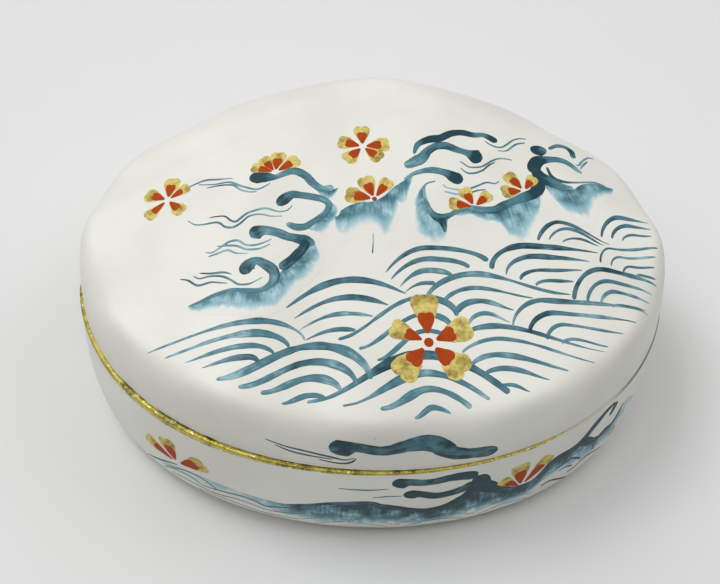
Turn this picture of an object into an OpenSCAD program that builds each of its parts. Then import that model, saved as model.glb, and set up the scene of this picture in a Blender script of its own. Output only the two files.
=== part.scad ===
// Incense box in the shape of a closed clam shell: a body and a lift-off lid of glazed stoneware.
// Both mouth rims are gilded, and a lip inside the body's mouth keeps the lid in place.
// +X is the right end, +Y is the hinge side of the shell, and the foot stands on z = 0.

/* [Outline] */
// Half of the length from end to end
half_length = 42; // [38:0.5:46]
// Reach of the outline from its widest line to the front edge
front_reach = 33; // [30:0.5:37]
// Reach of the outline from its widest line to the back edge
back_reach = 30; // [27:0.5:34]
// How much fuller than an ellipse the front half is
front_fullness = 0.04; // [0:0.01:0.12]
// How much flatter than an ellipse the back flanks are
back_flatness = 0.11; // [0:0.01:0.18]

/* [Body] */
// Height of the seam above the table
seam_height = 19.5; // [16:0.5:24]
// How far the wall curves in between the seam and the foot
foot_inset = 6.5; // [4:0.5:9]
// Thickness of the floor
floor_thick = 3.5; // [2.5:0.5:5]
// How far the inside curves in between the lip and the floor
floor_round = 4; // [2:0.5:6]

/* [Lid] */
// Height of the lid above the seam
lid_rise = 17.5; // [15:0.5:21]
// Thickness of the lid at its crown
crown_thick = 3; // [2:0.1:4]
// Thickness of the lid at its mouth rim
rim_wall = 2.8; // [2.2:0.1:3.4]
// How far the lid's edge lies inside the body's
lid_step = 0.3; // [0:0.05:0.6]
// Place of the crown to the right of the middle
crown_right = 0.5; // [-4:0.5:4]
// Place of the crown behind the widest line
crown_back = 22; // [17:0.5:23]
// Height of the shoulder above the seam
shoulder_rise = 9; // [7:0.5:11]
// How far the shoulder lies inside the outline
shoulder_in = 4.8; // [3.6:0.1:6]
// Tightness of the shoulder, where 2 is an ellipse
shoulder_power = 4; // [2.4:0.1:5]
// Rounding of the top inside the shoulder, where 1 is a cone
top_power = 1.35; // [1:0.05:1.6]
// Softness of the crown's tip
crown_soft = 0.2; // [0.05:0.05:0.4]

/* [Folds and hinge ridge] */
// Number of soft folds that fan out from the crown
fold_count = 12; // [5:1:15]
// Depth of the folds at the shoulder
fold_depth = 0.4; // [0:0.05:0.6]
// How much the folds push the shoulder out and in, as a share of its inset
fold_scallop = 0.25; // [0:0.05:0.3]
// How far the hinge ridge stands out at the back
ridge_out = 1.2; // [0:0.1:2]
// Angle where the ridge starts, counted from the right end
ridge_start = 40; // [25:5:60]
// Angle where the ridge ends
ridge_end = 122; // [100:1:140]

/* [Lip] */
// Height of the lip above the seam
lip_height = 2.6; // [1.5:0.1:4]
// Thickness of the lip
lip_thick = 1.6; // [1.2:0.1:2.4]
// Clearance between the lip and the lid
lip_gap = 0.4; // [0.3:0.05:0.8]

/* [Gilding] */
// Thickness of the gilding, drawn heavier than the real coat
gilt_thick = 0.15; // [0.1:0.05:0.3]
// How far the gilding runs down the outside of the body
body_gilt_drop = 0.6; // [0.4:0.1:1.5]
// How far the gilding runs up the outside of the lid
lid_gilt_rise = 0.35; // [0.35:0.05:1]

/* [Detail] */
// Points round each ring
sides = 96; // [48:12:144]
// Rings on the dome, outside and inside alike
dome_rings = 13; // [8:1:18]
// Rings on the body's wall, outside and inside alike
wall_rings = 10; // [6:1:16]

/* [Hidden] */

// Angles over which the ridge grows from the right and drops at its left end
ridge_grow = 40;
ridge_drop = 9;
// How fast the ridge fades up the lid and down the body
ridge_fade_up = 1;
ridge_fade_down = 2;
// Powers that shape the body's wall from the seam to the foot
wall_power = 3.2;
foot_power = 3.5;
// How fast the folds fade towards the crown
fold_fade = 2;
// How much closer the lid's rings lie at the shoulder than at the crown
ring_bias = 2.5;
lip_rings = 3;

crown = [crown_right, crown_back];
foot_centre = [0, (back_reach - front_reach) / 2];
lid_top = seam_height + lid_rise;
lid_gilt_top = seam_height + lid_gilt_rise;
body_gilt_low = seam_height - body_gilt_drop;
lip_outside = rim_wall + lip_gap;
lip_inside = lip_outside + lip_thick;
top_rise = lid_rise - shoulder_rise;
inner_shoulder = shoulder_rise - crown_thick;
turn = [for (i = [0 : sides - 1]) 360 * i / sides];

// Outline of the seam: an ellipse that is fuller at the front and flatter at the back.
function outline(t) =
    let (c = cos(t), s = sin(t))
    [half_length * c,
     s < 0 ? front_reach * s * (1 + front_fullness * c * c)
           : back_reach * s * (1 - back_flatness * c * c)];

// Unit vector square to the outline, pointing outwards.
function outward(t) =
    let (d = outline(t + 1) - outline(t - 1))
    [d.y, -d.x] / norm(d);

// Point at a depth inside the outline.
function inset(t, depth) = outline(t) - depth * outward(t);

// Smooth step from 0 to 1.
function ease(x) =
    let (k = min(max(x, 0), 1))
    k * k * (3 - 2 * k);

// How far the hinge ridge stands out at an angle.
function ridge(t) =
    ridge_out * ease((t - ridge_start) / ridge_grow) * ease((ridge_end - t) / ridge_drop);

// Point of the outer edge at the seam, ridge included.
function rim(t, depth) = inset(t, depth - ridge(t));

// The lid's curve from rim to crown: a wall that turns over at the shoulder, and a shallow top.
// The shoulder goes from 0 at the rim to 1 at its inset, and the top from 0 at the rim to 1 at the crown.
function shoulder(x) = x < 1 ? pow(1 - pow(1 - x, shoulder_power), 1 / shoulder_power) : 1;
function shoulder_place(y) = y < 1 ? 1 - pow(1 - pow(y, shoulder_power), 1 / shoulder_power) : 1;
function soft(x) = sqrt(x * x + crown_soft * crown_soft) - crown_soft;
function top(share) = 1 - pow(soft(share) / soft(1), top_power);

// The folds are highest at the middle of the front, and die away to the rim and to the crown.
function fold(t) = cos(fold_count * (t + 90));

// The wall's curve runs from psi = 0 at the seam to 90 at the foot.
function wall_fall(psi) = pow(sin(psi), 2 / wall_power);
function wall_inset(psi) = 1 - pow(cos(psi), 2 / foot_power);

// Share of the way from the crown to the rim for the lid's ring number k, counted from the rim.
function ring_share(k) = 1 - pow(k / dome_rings, ring_bias);

// Rings of points.
function flat_ring(depth, z) = [for (t = turn) concat(inset(t, depth), z)];
function rim_ring(depth, z) = [for (t = turn) concat(rim(t, depth), z)];
function lid_outer_ring(share) =
    [for (t = turn)
        let (edge = inset(t, lid_step) - crown,
             wall = shoulder(norm(edge) * (1 - share) / shoulder_in * (1 + fold_scallop * fold(t))),
             out = outward(t) * ridge(t) * pow(1 - wall, ridge_fade_up))
        concat(crown + edge * share + out,
               lid_gilt_top + (shoulder_rise - lid_gilt_rise) * wall + top_rise * top(share)
               + fold_depth * fold(t) * wall * pow(share, fold_fade))];
function lid_inner_ring(share) =
    [for (t = turn)
        let (edge = inset(t, rim_wall) - crown)
        concat(crown + edge * share,
               seam_height + inner_shoulder * shoulder(norm(edge) * (1 - share) / shoulder_in)
               + top_rise * top(share))];
function lip_ring(depth, height) =
    flat_ring(depth + shoulder_in * shoulder_place(height / inner_shoulder), seam_height + height);
function body_outer_ring(psi) =
    [for (t = turn)
        let (w = wall_fall(psi))
        concat(inset(t, foot_inset * wall_inset(psi) - ridge(t) * pow(1 - w, ridge_fade_down)),
               body_gilt_low * (1 - w))];
function body_inner_ring(psi) =
    flat_ring(lip_inside + floor_round * wall_inset(psi),
              seam_height + (floor_thick - seam_height) * wall_fall(psi));

// Triangles between one ring and the next.
function band(first, second) =
    [for (i = [0 : sides - 1])
        let (j = (i + 1) % sides)
        each [[first + i, second + i, first + j], [first + j, second + i, second + j]]];

// Closed skin from a start point, over a list of rings, to an end point.
module skin(start, rings, end) {
    last = len(rings) - 1;
    end_index = 1 + len(rings) * sides;
    points = concat([start], [for (r = rings) each r], [end]);
    faces = concat(
        [for (i = [0 : sides - 1]) [0, 1 + i, 1 + (i + 1) % sides]],
        [for (k = [0 : last - 1]) each band(1 + k * sides, 1 + (k + 1) * sides)],
        [for (i = [0 : sides - 1]) [end_index, 1 + last * sides + (i + 1) % sides, 1 + last * sides + i]]);
    polyhedron(points, faces);
}

// Closed loop whose section is a list of rings.
module loop(rings) {
    points = [for (r = rings) each r];
    faces = [for (k = [0 : len(rings) - 1]) each band(k * sides, ((k + 1) % len(rings)) * sides)];
    polyhedron(points, faces);
}

// Lower half: foot, wall, seat for the lid, lip and hollow.
module body() {
    outside = [for (k = [wall_rings : -1 : 0]) body_outer_ring(90 * k / wall_rings)];
    seat = [rim_ring(gilt_thick, body_gilt_low),
            rim_ring(gilt_thick, seam_height - gilt_thick),
            flat_ring(lip_outside, seam_height - gilt_thick)];
    lip = [for (k = [1 : lip_rings]) lip_ring(lip_outside, lip_height * k / lip_rings)];
    lip_inner_edge = [lip_ring(lip_inside, lip_height)];
    inside = [for (k = [0 : wall_rings]) body_inner_ring(90 * k / wall_rings)];
    color("ivory")
        skin(concat(foot_centre, 0), concat(outside, seat, lip, lip_inner_edge, inside),
             concat(foot_centre, floor_thick));
}

// Gold on the body's mouth rim: the flat seat and a line down the outside.
module body_gilding() {
    color("goldenrod")
        loop([rim_ring(0, body_gilt_low),
              rim_ring(0, seam_height),
              flat_ring(rim_wall, seam_height),
              flat_ring(rim_wall, seam_height - gilt_thick),
              rim_ring(gilt_thick, seam_height - gilt_thick),
              rim_ring(gilt_thick, body_gilt_low)]);
}

// Upper half: a folded dome with its crown towards the hinge ridge.
module lid() {
    outside = [for (k = [dome_rings - 1 : -1 : 0]) lid_outer_ring(ring_share(k))];
    mouth = [rim_ring(lid_step + gilt_thick, lid_gilt_top),
             rim_ring(lid_step + gilt_thick, seam_height + gilt_thick),
             flat_ring(rim_wall, seam_height + gilt_thick)];
    inside = [for (k = [1 : dome_rings - 1]) lid_inner_ring(ring_share(k))];
    color("ivory")
        skin(concat(crown, lid_top), concat(outside, mouth, inside), concat(crown, lid_top - crown_thick));
}

// Gold on the lid's mouth rim: the flat underside and a thin line up the outside.
module lid_gilding() {
    color("goldenrod")
        loop([rim_ring(lid_step, seam_height),
              rim_ring(lid_step, lid_gilt_top),
              rim_ring(lid_step + gilt_thick, lid_gilt_top),
              rim_ring(lid_step + gilt_thick, seam_height + gilt_thick),
              flat_ring(rim_wall, seam_height + gilt_thick),
              flat_ring(rim_wall, seam_height)]);
}

body();
body_gilding();
lid();
lid_gilding();
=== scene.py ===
"""Looks of a shell-shaped incense box: two glazed halves, gilded mouth rims, painted waves and blossoms."""
import math
import random
from typing import NamedTuple

import bpy
from bpy.props import FloatProperty, FloatVectorProperty, IntProperty, PointerProperty
from mathutils import Matrix, Vector


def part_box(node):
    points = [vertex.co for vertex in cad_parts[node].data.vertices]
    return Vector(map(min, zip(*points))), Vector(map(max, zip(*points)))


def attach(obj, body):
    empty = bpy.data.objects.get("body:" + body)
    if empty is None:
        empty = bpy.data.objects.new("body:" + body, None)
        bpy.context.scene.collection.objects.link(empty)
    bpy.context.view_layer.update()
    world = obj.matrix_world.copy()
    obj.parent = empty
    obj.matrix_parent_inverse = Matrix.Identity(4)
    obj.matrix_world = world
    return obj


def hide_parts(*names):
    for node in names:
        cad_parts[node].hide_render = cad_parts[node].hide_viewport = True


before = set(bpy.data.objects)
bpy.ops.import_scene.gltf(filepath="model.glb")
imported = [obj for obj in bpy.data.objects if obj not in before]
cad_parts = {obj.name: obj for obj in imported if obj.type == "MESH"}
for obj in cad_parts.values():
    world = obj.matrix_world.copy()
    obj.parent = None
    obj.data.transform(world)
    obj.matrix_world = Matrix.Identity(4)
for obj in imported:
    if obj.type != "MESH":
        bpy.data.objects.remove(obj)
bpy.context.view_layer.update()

bl_info = {
    "name": "Shell Incense Box",
    "version": (1, 0, 0),
    "blender": (4, 5, 0),
    "location": "View3D > Sidebar > Incense Box",
    "description": "Builds the glaze, gilding and painting of a shell-shaped incense box",
    "category": "Object",
}

MM = 0.001
BODY_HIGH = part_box("body")[1]
BODY_GILT_LOW, BODY_GILT_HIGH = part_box("body_gilding")
LID_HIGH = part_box("lid")[1]
LID_GILT_LOW, LID_GILT_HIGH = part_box("lid_gilding")
BACK_REACH = 30 * MM


# Settings that a user would change

def length(name, description, metres):
    """Size in metres, shown in the scene's unit."""
    return FloatProperty(name=name, description=description, default=metres, unit="LENGTH", precision=5)


def angle(name, description, degrees):
    """Angle, written in degrees."""
    return FloatProperty(name=name, description=description, default=math.radians(degrees), subtype="ANGLE")


def share(name, description, value):
    """Plain number."""
    return FloatProperty(name=name, description=description, default=value, precision=3)


def colour(name, description, red, green, blue):
    """Colour, written as the three screen values from 0 to 255."""
    linear = []
    for value in (red, green, blue):
        part = value / 255
        linear.append(part / 12.92 if part <= 0.04045 else ((part + 0.055) / 1.055) ** 2.4)
    return FloatVectorProperty(name=name, description=description, default=linear, subtype="COLOR", size=3,
                               min=0, max=1)


class ShellSizes(bpy.types.PropertyGroup):
    """Form of the two halves: the solids' own, with a shift of the lid, rounded edges and room for paint."""
    half_length: length("Half length", "Half of the length from end to end", BODY_GILT_HIGH.x)
    front_reach: length("Front reach", "From the widest line to the front edge", -BODY_GILT_LOW.y)
    back_reach: length("Back reach", "From the widest line to the back edge", BACK_REACH)
    front_fullness: share("Front fullness", "How much fuller than an ellipse the front half is", 0.04)
    back_flatness: share("Back flatness", "How much flatter than an ellipse the back flanks are", 0.11)
    seam_height: length("Seam height", "Height of the seam above the table", BODY_GILT_HIGH.z)
    body_top: length("Body top", "Height where the body's gold line starts", BODY_GILT_LOW.z)
    lid_foot: length("Lid foot", "Height where the lid's glaze starts above its gold line", LID_GILT_HIGH.z)
    lid_top: length("Lid top", "Height of the crown above the table", LID_HIGH.z)
    crown_right: length("Crown right", "Place of the crown to the right of the middle", 0.5 * MM)
    crown_back: length("Crown back", "Place of the crown behind the widest line", 22 * MM)
    shoulder_rise: length("Shoulder rise", "Height of the shoulder above the seam", 9 * MM)
    shoulder_in: length("Shoulder inset", "How far the shoulder lies inside the outline", 4.8 * MM)
    shoulder_power: share("Shoulder power", "Tightness of the shoulder, where 2 is an ellipse", 4.0)
    top_power: share("Top power", "Rounding of the top inside the shoulder, where 1 is a cone", 1.35)
    crown_soft: share("Crown softness", "Softness of the crown's tip", 0.2)
    crown_thick: length("Crown thickness", "Thickness of the lid at its crown", 3 * MM)
    lid_step: length("Lid step", "How far the lid's edge lies inside the body's",
                     BODY_GILT_HIGH.x - LID_GILT_HIGH.x)
    lid_shift: length("Lid shift", "How much further in the lid's edge lies at the front left", 0.25 * MM)
    rim_wall: length("Rim wall", "Thickness of the lid at its mouth rim", 2.8 * MM)
    foot_inset: length("Foot inset", "How far the wall curves in between seam and foot", 6.5 * MM)
    floor_thick: length("Floor thickness", "Thickness of the body's floor", 3.5 * MM)
    floor_round: length("Floor round", "How far the inside curves in towards the floor", 4 * MM)
    lip_gap: length("Lip gap", "Clearance between lip and lid", 0.4 * MM)
    lip_thick: length("Lip thickness", "Thickness of the lip", 1.6 * MM)
    lip_height: length("Lip height", "Height of the lip above the seam", BODY_HIGH.z - BODY_GILT_HIGH.z)
    gilt_thick: length("Gilding thickness", "Thickness of the gold coat in the solids", 0.15 * MM)
    edge_round: length("Edge round", "Rounding of the lip and of the body's mouth edge", 0.3 * MM)
    gilt_round: length("Gilding round", "Rounding of the lid's mouth edge", 0.1 * MM)
    paint_room: length("Paint room", "How far the glaze lies inside the solids, for paint", 0.04 * MM)
    fold_count: share("Folds", "Number of soft folds that fan out from the crown", 12)
    fold_depth: length("Fold depth", "Depth of the folds at the shoulder", 0.4 * MM)
    fold_scallop: share("Fold scallop", "How much the folds push the shoulder out and in", 0.25)
    ridge_out: length("Ridge out", "How far the hinge ridge stands out", BODY_GILT_HIGH.y - BACK_REACH)
    ridge_start: angle("Ridge start", "Angle where the ridge starts, from the right end", 40)
    ridge_grow: angle("Ridge growth", "Angle over which the ridge grows", 40)
    ridge_end: angle("Ridge end", "Angle where the ridge ends", 122)
    ridge_drop: angle("Ridge drop", "Angle over which the ridge drops", 9)
    turns: IntProperty(name="Turns", description="Points round each ring", default=360, min=24)


class Finishes(bpy.types.PropertyGroup):
    """Colours of the glaze, the gold and the painting."""
    glaze: colour("Glaze", "Warm white of the glaze", 241, 241, 233)
    glaze_shade: colour("Glaze shade", "Greyer white where the glaze lies thin", 231, 230, 221)
    speck: colour("Speck", "Iron specks in the glaze", 120, 104, 84)
    clay: colour("Clay", "Bare clay under the foot", 196, 176, 146)
    rim_gold: colour("Rim gold", "Gold of the mouth rims", 206, 192, 86)
    # The dark rim gold also serves as painted shade on the lid's part of the gold line.
    rim_gold_dark: colour("Dark rim gold", "Gold where it lies thin or is worn", 78, 67, 24)
    # Painted glints: near-white flecks in the gold's colour stand in for highlights on the rims.
    painted_gold_glint: colour("Gold spark", "Bright flecks in the gold of the rims", 252, 244, 188)
    blue: colour("Blue", "Underglaze blue of the brush strokes", 78, 128, 141)
    # Dark blue is also the colour of the painted shadow line in the rim's seam at the right.
    blue_dark: colour("Dark blue", "Blue where the paint is pooled", 22, 62, 74)
    blue_light: colour("Light blue", "Blue where the paint is thin", 152, 191, 201)
    blue_wash: colour("Wash blue", "Blue of the thin washes", 158, 199, 209)
    petal_gold: colour("Petal gold", "Gold paint on the petals", 226, 207, 120)
    petal_gold_dark: colour("Dark petal gold", "Gold paint where it lies thick", 136, 110, 40)
    red: colour("Red", "Red enamel in the hearts of the petals", 168, 54, 4)
    red_light: colour("Light red", "Red enamel where it is thin", 192, 86, 26)
    floor: colour("Floor", "Pale paper under the box", 233, 233, 233)


# Node trees: making nodes and writing arithmetic

def feed(tree, value, socket):
    """Links a socket or a field, or sets a plain value."""
    if isinstance(value, Field):
        tree.links.new(value.socket, socket)
    elif isinstance(value, bpy.types.NodeSocket):
        tree.links.new(value, socket)
    else:
        socket.default_value = value


def live(sockets, name):
    """The socket of that name that the node's settings leave in use."""
    for socket in sockets:
        if socket.name == name and socket.enabled:
            return socket
    raise KeyError(name)


def add(tree, kind, feeds=None, **settings):
    """New node with its settings, and with values or sockets fed to its inputs by name."""
    node = tree.nodes.new(kind)
    for key, value in settings.items():
        setattr(node, key, value)
    for name, value in (feeds or {}).items():
        feed(tree, value, live(node.inputs, name))
    return node


def math_step(operation, turned=False):
    """Method of a field that adds one Math node; where it is turned, the other value comes first."""
    def method(field, *others):
        values = (*others, field) if turned else (field, *others)
        return field.step(operation, *values)
    return method


class Field:
    """A number socket that takes part in plain arithmetic: each step adds one Math node to its tree."""

    def __init__(self, tree, socket):
        self.tree = tree
        self.socket = socket

    def step(self, operation, *values):
        """Field of a new Math node that is fed with the values."""
        node = self.tree.nodes.new("ShaderNodeMath")
        node.operation = operation
        for socket, value in zip(node.inputs, values):
            feed(self.tree, value, socket)
        return Field(self.tree, node.outputs[0])

    __add__ = math_step("ADD")
    __radd__ = math_step("ADD", turned=True)
    __sub__ = math_step("SUBTRACT")
    __rsub__ = math_step("SUBTRACT", turned=True)
    __mul__ = math_step("MULTIPLY")
    __rmul__ = math_step("MULTIPLY", turned=True)
    __truediv__ = math_step("DIVIDE")
    __rtruediv__ = math_step("DIVIDE", turned=True)
    __pow__ = math_step("POWER")
    above = math_step("GREATER_THAN")
    below = math_step("LESS_THAN")
    most = math_step("MAXIMUM")
    least = math_step("MINIMUM")
    size = math_step("ABSOLUTE")
    sine = math_step("SINE")
    cosine = math_step("COSINE")
    root = math_step("SQRT")
    whole = math_step("ROUND")

    def eased(self, low, high):
        """Smooth step from 0 at the low value to 1 at the high one."""
        node = add(self.tree, "ShaderNodeMapRange", {"Value": self, "From Min": low, "From Max": high},
                   interpolation_type="SMOOTHSTEP")
        return Field(self.tree, live(node.outputs, "Result"))


def vector(tree, x, y, z):
    """Vector socket from three numbers."""
    return add(tree, "ShaderNodeCombineXYZ", {"X": x, "Y": y, "Z": z}).outputs[0]


def parts(tree, socket):
    """The three numbers of a vector socket, as fields."""
    node = add(tree, "ShaderNodeSeparateXYZ", {"Vector": socket})
    return [Field(tree, output) for output in node.outputs]


def combine(tree, operation, first, second):
    """Vector socket from two vectors, or from a vector and a number for SCALE."""
    node = tree.nodes.new("ShaderNodeVectorMath")
    node.operation = operation
    feed(tree, first, node.inputs[0])
    if operation == "SCALE":
        feed(tree, second, live(node.inputs, "Scale"))
    else:
        feed(tree, second, node.inputs[1])
    return node.outputs[0]


def noise(tree, place, scale, detail=3.0):
    """Noise from 0 to 1, as a field."""
    node = add(tree, "ShaderNodeTexNoise", {"Vector": place, "Scale": scale, "Detail": detail})
    return Field(tree, node.outputs[0])


# Geometry node trees

OUTLINE_SOCKETS = ("Half Length", "Front Reach", "Back Reach", "Front Fullness", "Back Flatness")
SHELL_SOCKETS = (*OUTLINE_SOCKETS, "Crown Right", "Crown Back", "Ridge Out", "Ridge Start", "Ridge Grow",
                 "Ridge End", "Ridge Drop", "Shoulder In", "Shoulder Power", "Fold Count", "Fold Depth",
                 "Fold Scallop")
FRONT_LEFT = math.radians(-130)
# Bend, in radians, from which an edge is crisp, and the trees' working distances in metres
CRISP_BEND = 0.7
WELD_DISTANCE = 1e-6
RAY_HEIGHT = 0.1
RAY_AWAY = 0.01
RAY_LENGTH = 0.2


def new_tree(name, sockets):
    """Geometry node tree with the named inputs; returns it with its inputs as fields or sockets."""
    tree = bpy.data.node_groups.new(name, "GeometryNodeTree")
    face = tree.interface
    face.new_socket("Geometry", in_out="OUTPUT", socket_type="NodeSocketGeometry")
    face.new_socket("Geometry", in_out="INPUT", socket_type="NodeSocketGeometry")
    for label, kind in sockets.items():
        face.new_socket(label, in_out="INPUT", socket_type=kind)
    given = {}
    for socket in tree.nodes.new("NodeGroupInput").outputs[:-1]:
        plain = socket.type in ("VALUE", "INT")
        given[socket.name] = Field(tree, socket) if plain else socket
    return tree, given


def close_tree(tree, mesh, spot, material):
    """Ends a tree: points put in place and welded, faces shaded, instances made real, material set."""
    moved = add(tree, "GeometryNodeSetPosition", {"Geometry": mesh, "Position": spot}).outputs[0]
    welded = add(tree, "GeometryNodeMergeByDistance", {"Geometry": moved, "Distance": WELD_DISTANCE})
    real = add(tree, "GeometryNodeRealizeInstances", {"Geometry": shaded(tree, welded.outputs[0])})
    dressed = add(tree, "GeometryNodeSetMaterial", {"Geometry": real.outputs[0], "Material": material})
    feed(tree, dressed.outputs[0], tree.nodes.new("NodeGroupOutput").inputs[0])


def named(tree, name, kind="FLOAT"):
    """A named attribute as a socket."""
    node = add(tree, "GeometryNodeInputNamedAttribute", {"Name": name}, data_type=kind)
    return live(node.outputs, "Attribute")


def store(tree, geometry, name, value, kind="FLOAT"):
    """Keeps a value on the points under a name."""
    node = add(tree, "GeometryNodeStoreNamedAttribute", {"Geometry": geometry, "Name": name, "Value": value},
               data_type=kind, domain="POINT")
    return node.outputs[0]


def shaded(tree, geometry):
    """Smooth shading with crisp edges where the faces bend sharply."""
    smooth = add(tree, "GeometryNodeSetShadeSmooth", {"Geometry": geometry, "Shade Smooth": True}).outputs[0]
    bend = Field(tree, tree.nodes.new("GeometryNodeInputMeshEdgeAngle").outputs[0])
    crisp = add(tree, "GeometryNodeSetShadeSmooth",
                {"Geometry": smooth, "Selection": bend.above(CRISP_BEND), "Shade Smooth": False},
                domain="EDGE")
    return crisp.outputs[0]


def shell_edge(given, turn):
    """Point of the shell's outline at an angle, and the direction square to it, as pairs of fields."""
    c = turn.cosine()
    s = turn.sine()
    front = s.below(0)
    reach = front * given["Front Reach"] + (1 - front) * given["Back Reach"]
    bulge = front * given["Front Fullness"] - (1 - front) * given["Back Flatness"]
    point = (given["Half Length"] * c, reach * s * (1 + bulge * c * c))
    run_x = -1 * (given["Half Length"] * s)
    run_y = reach * c * (1 + bulge * (c * c - 2 * s * s))
    run = (run_x * run_x + run_y * run_y).root()
    return point, (run_y / run, -1 * run_x / run)


def carry_round_tree():
    """Carries a section line round the shell's outline and closes it where it meets itself.

    Each point of the section keeps its height, its inset from the outline, its share of the way from the
    crown to the outline, and how much of the shoulder, the folds and the hinge ridge it takes.
    """
    sockets = {label: "NodeSocketFloat" for label in SHELL_SOCKETS}
    sockets["Shift"] = "NodeSocketFloat"
    sockets["Turns"] = "NodeSocketInt"
    sockets["Material"] = "NodeSocketMaterial"
    tree, given = new_tree("Carry Round", sockets)
    section = given["Geometry"]
    count = Field(tree, add(tree, "GeometryNodeAttributeDomainSize", {"Geometry": section}).outputs[0])
    grid = add(tree, "GeometryNodeMeshGrid", {"Size X": 1.0, "Size Y": 1.0, "Vertices X": given["Turns"] + 1,
                                              "Vertices Y": count})
    across, up, _ = parts(tree, tree.nodes.new("GeometryNodeInputPosition").outputs[0])
    turn = (across + 0.5) * math.tau
    row = ((up + 0.5) * (count - 1)).whole()

    def sampled(name):
        node = add(tree, "GeometryNodeSampleIndex",
                   {"Geometry": section, "Value": named(tree, name), "Index": row},
                   data_type="FLOAT", domain="POINT")
        return Field(tree, live(node.outputs, "Value"))

    edge, out = shell_edge(given, turn)
    crown = (given["Crown Right"], given["Crown Back"])
    inset = sampled("inset")
    part = sampled("share")
    drawn_in = [edge[axis] - inset * out[axis] - crown[axis] for axis in range(2)]
    reach = (drawn_in[0] * drawn_in[0] + drawn_in[1] * drawn_in[1]).root()
    wave = (given["Fold Count"] * (turn + math.pi / 2)).cosine() * sampled("fold")
    depth = reach * (1 - part) / given["Shoulder In"] * (1 + given["Fold Scallop"] * wave)
    wall = (1 - (1 - depth.least(1.0)) ** given["Shoulder Power"]) ** (1 / given["Shoulder Power"])
    height = sampled("height") + sampled("shoulder") * wall + given["Fold Depth"] * wave * wall * part * part

    rise = turn.eased(given["Ridge Start"], given["Ridge Start"] + given["Ridge Grow"])
    fall = 1 - turn.eased(given["Ridge End"] - given["Ridge Drop"], given["Ridge End"])
    stand_out = given["Ridge Out"] * rise * fall - given["Shift"] * (turn - FRONT_LEFT).cosine()
    stand_out = stand_out * sampled("ridge") * (1 - wall * sampled("fold"))
    place = [crown[axis] + drawn_in[axis] * part + out[axis] * stand_out for axis in range(2)]

    close_tree(tree, grid.outputs[0], vector(tree, place[0], place[1], height), given["Material"])
    return tree


# Painting trees

PAINT_SOCKETS = {
    "Shell": "NodeSocketObject",
    "Spacing": "NodeSocketFloat",
    "Round Points": "NodeSocketInt",
    "Thickness": "NodeSocketFloat",
    "Sink": "NodeSocketFloat",
    "Steepness": "NodeSocketFloat",
    "Unevenness": "NodeSocketFloat",
    "Wander": "NodeSocketFloat",
    "Seed": "NodeSocketFloat",
    "Material": "NodeSocketMaterial",
}


def ribbons(tree, given):
    """Turns a drawing's lines into flat closed ribbons; returns them with the drawn place of each point.

    A line's points carry half_width, half of the brush's width, and reach, how far a wash runs from the line.
    """
    lines = add(tree, "GeometryNodeMeshToCurve", {"Mesh": given["Geometry"]}).outputs[0]
    smooth = add(tree, "GeometryNodeCurveSplineType", {"Curve": lines}, spline_type="CATMULL_ROM").outputs[0]
    fine = add(tree, "GeometryNodeResampleCurve", {"Curve": smooth, "Length": given["Spacing"]},
               mode="LENGTH")
    spot = tree.nodes.new("GeometryNodeInputPosition").outputs[0]
    done = Field(tree, live(tree.nodes.new("GeometryNodeSplineParameter").outputs, "Length"))
    whole = Field(tree, live(tree.nodes.new("GeometryNodeSplineLength").outputs, "Length"))
    half_width = Field(tree, named(tree, "half_width")).most(0.0)
    short = 1 - (done.least(whole - done) / half_width.most(WELD_DISTANCE)).least(1.0)
    ends = (1 - short * short).root()
    x, y, _ = parts(tree, spot)
    drift = noise(tree, vector(tree, x, y, given["Seed"]), given["Wander"], 2.0) - 0.5
    line = store(tree, fine.outputs[0], "brush", half_width * ends * (1 + given["Unevenness"] * drift))
    line = store(tree, line, "middle", spot, "FLOAT_VECTOR")
    line = store(tree, line, "run", tree.nodes.new("GeometryNodeInputTangent").outputs[0], "FLOAT_VECTOR")

    ring = add(tree, "GeometryNodeCurvePrimitiveCircle", {"Resolution": given["Round Points"], "Radius": 1.0},
               mode="RADIUS").outputs[0]
    ring = store(tree, ring, "across", x)
    ring = store(tree, ring, "rise", y)
    mesh = add(tree, "GeometryNodeCurveToMesh", {"Curve": line, "Profile Curve": ring, "Fill Caps": True})
    across = Field(tree, named(tree, "across"))
    side = across * Field(tree, named(tree, "brush"))
    out = (across + 1) * 0.5
    middle = parts(tree, named(tree, "middle", "FLOAT_VECTOR"))
    run = parts(tree, named(tree, "run", "FLOAT_VECTOR"))
    reach = parts(tree, named(tree, "reach", "FLOAT_VECTOR"))
    drawn = (middle[0] - run[1] * side + reach[0] * out, middle[1] + run[0] * side + reach[1] * out)
    to_the_right = (run[0] * reach[1] - run[1] * reach[0]).below(0)
    outward = add(tree, "GeometryNodeFlipFaces", {"Mesh": mesh.outputs[0], "Selection": to_the_right})
    return outward.outputs[0], drawn


def lay(tree, given, mesh, start, aim):
    """Drops the ribbons' points along rays onto the shell and lifts their upper side by the paint."""
    shell = add(tree, "GeometryNodeObjectInfo", {"Object": given["Shell"]}, transform_space="ORIGINAL")
    hit = add(tree, "GeometryNodeRaycast",
              {"Target Geometry": live(shell.outputs, "Geometry"), "Source Position": start,
               "Ray Direction": aim, "Ray Length": RAY_LENGTH})
    rise = Field(tree, named(tree, "rise"))
    coat = given["Thickness"] * (1 + Field(tree, named(tree, "level")))
    lift = (rise.most(0.0) * given["Steepness"]).least(1.0) * coat + rise.least(0.0) * given["Sink"]
    raised = combine(tree, "SCALE", live(hit.outputs, "Hit Normal"), lift)
    spot = combine(tree, "ADD", live(hit.outputs, "Hit Position"), raised)
    checked = store(tree, mesh, "missed", 1 - Field(tree, live(hit.outputs, "Is Hit")))
    close_tree(tree, checked, spot, given["Material"])


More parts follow.
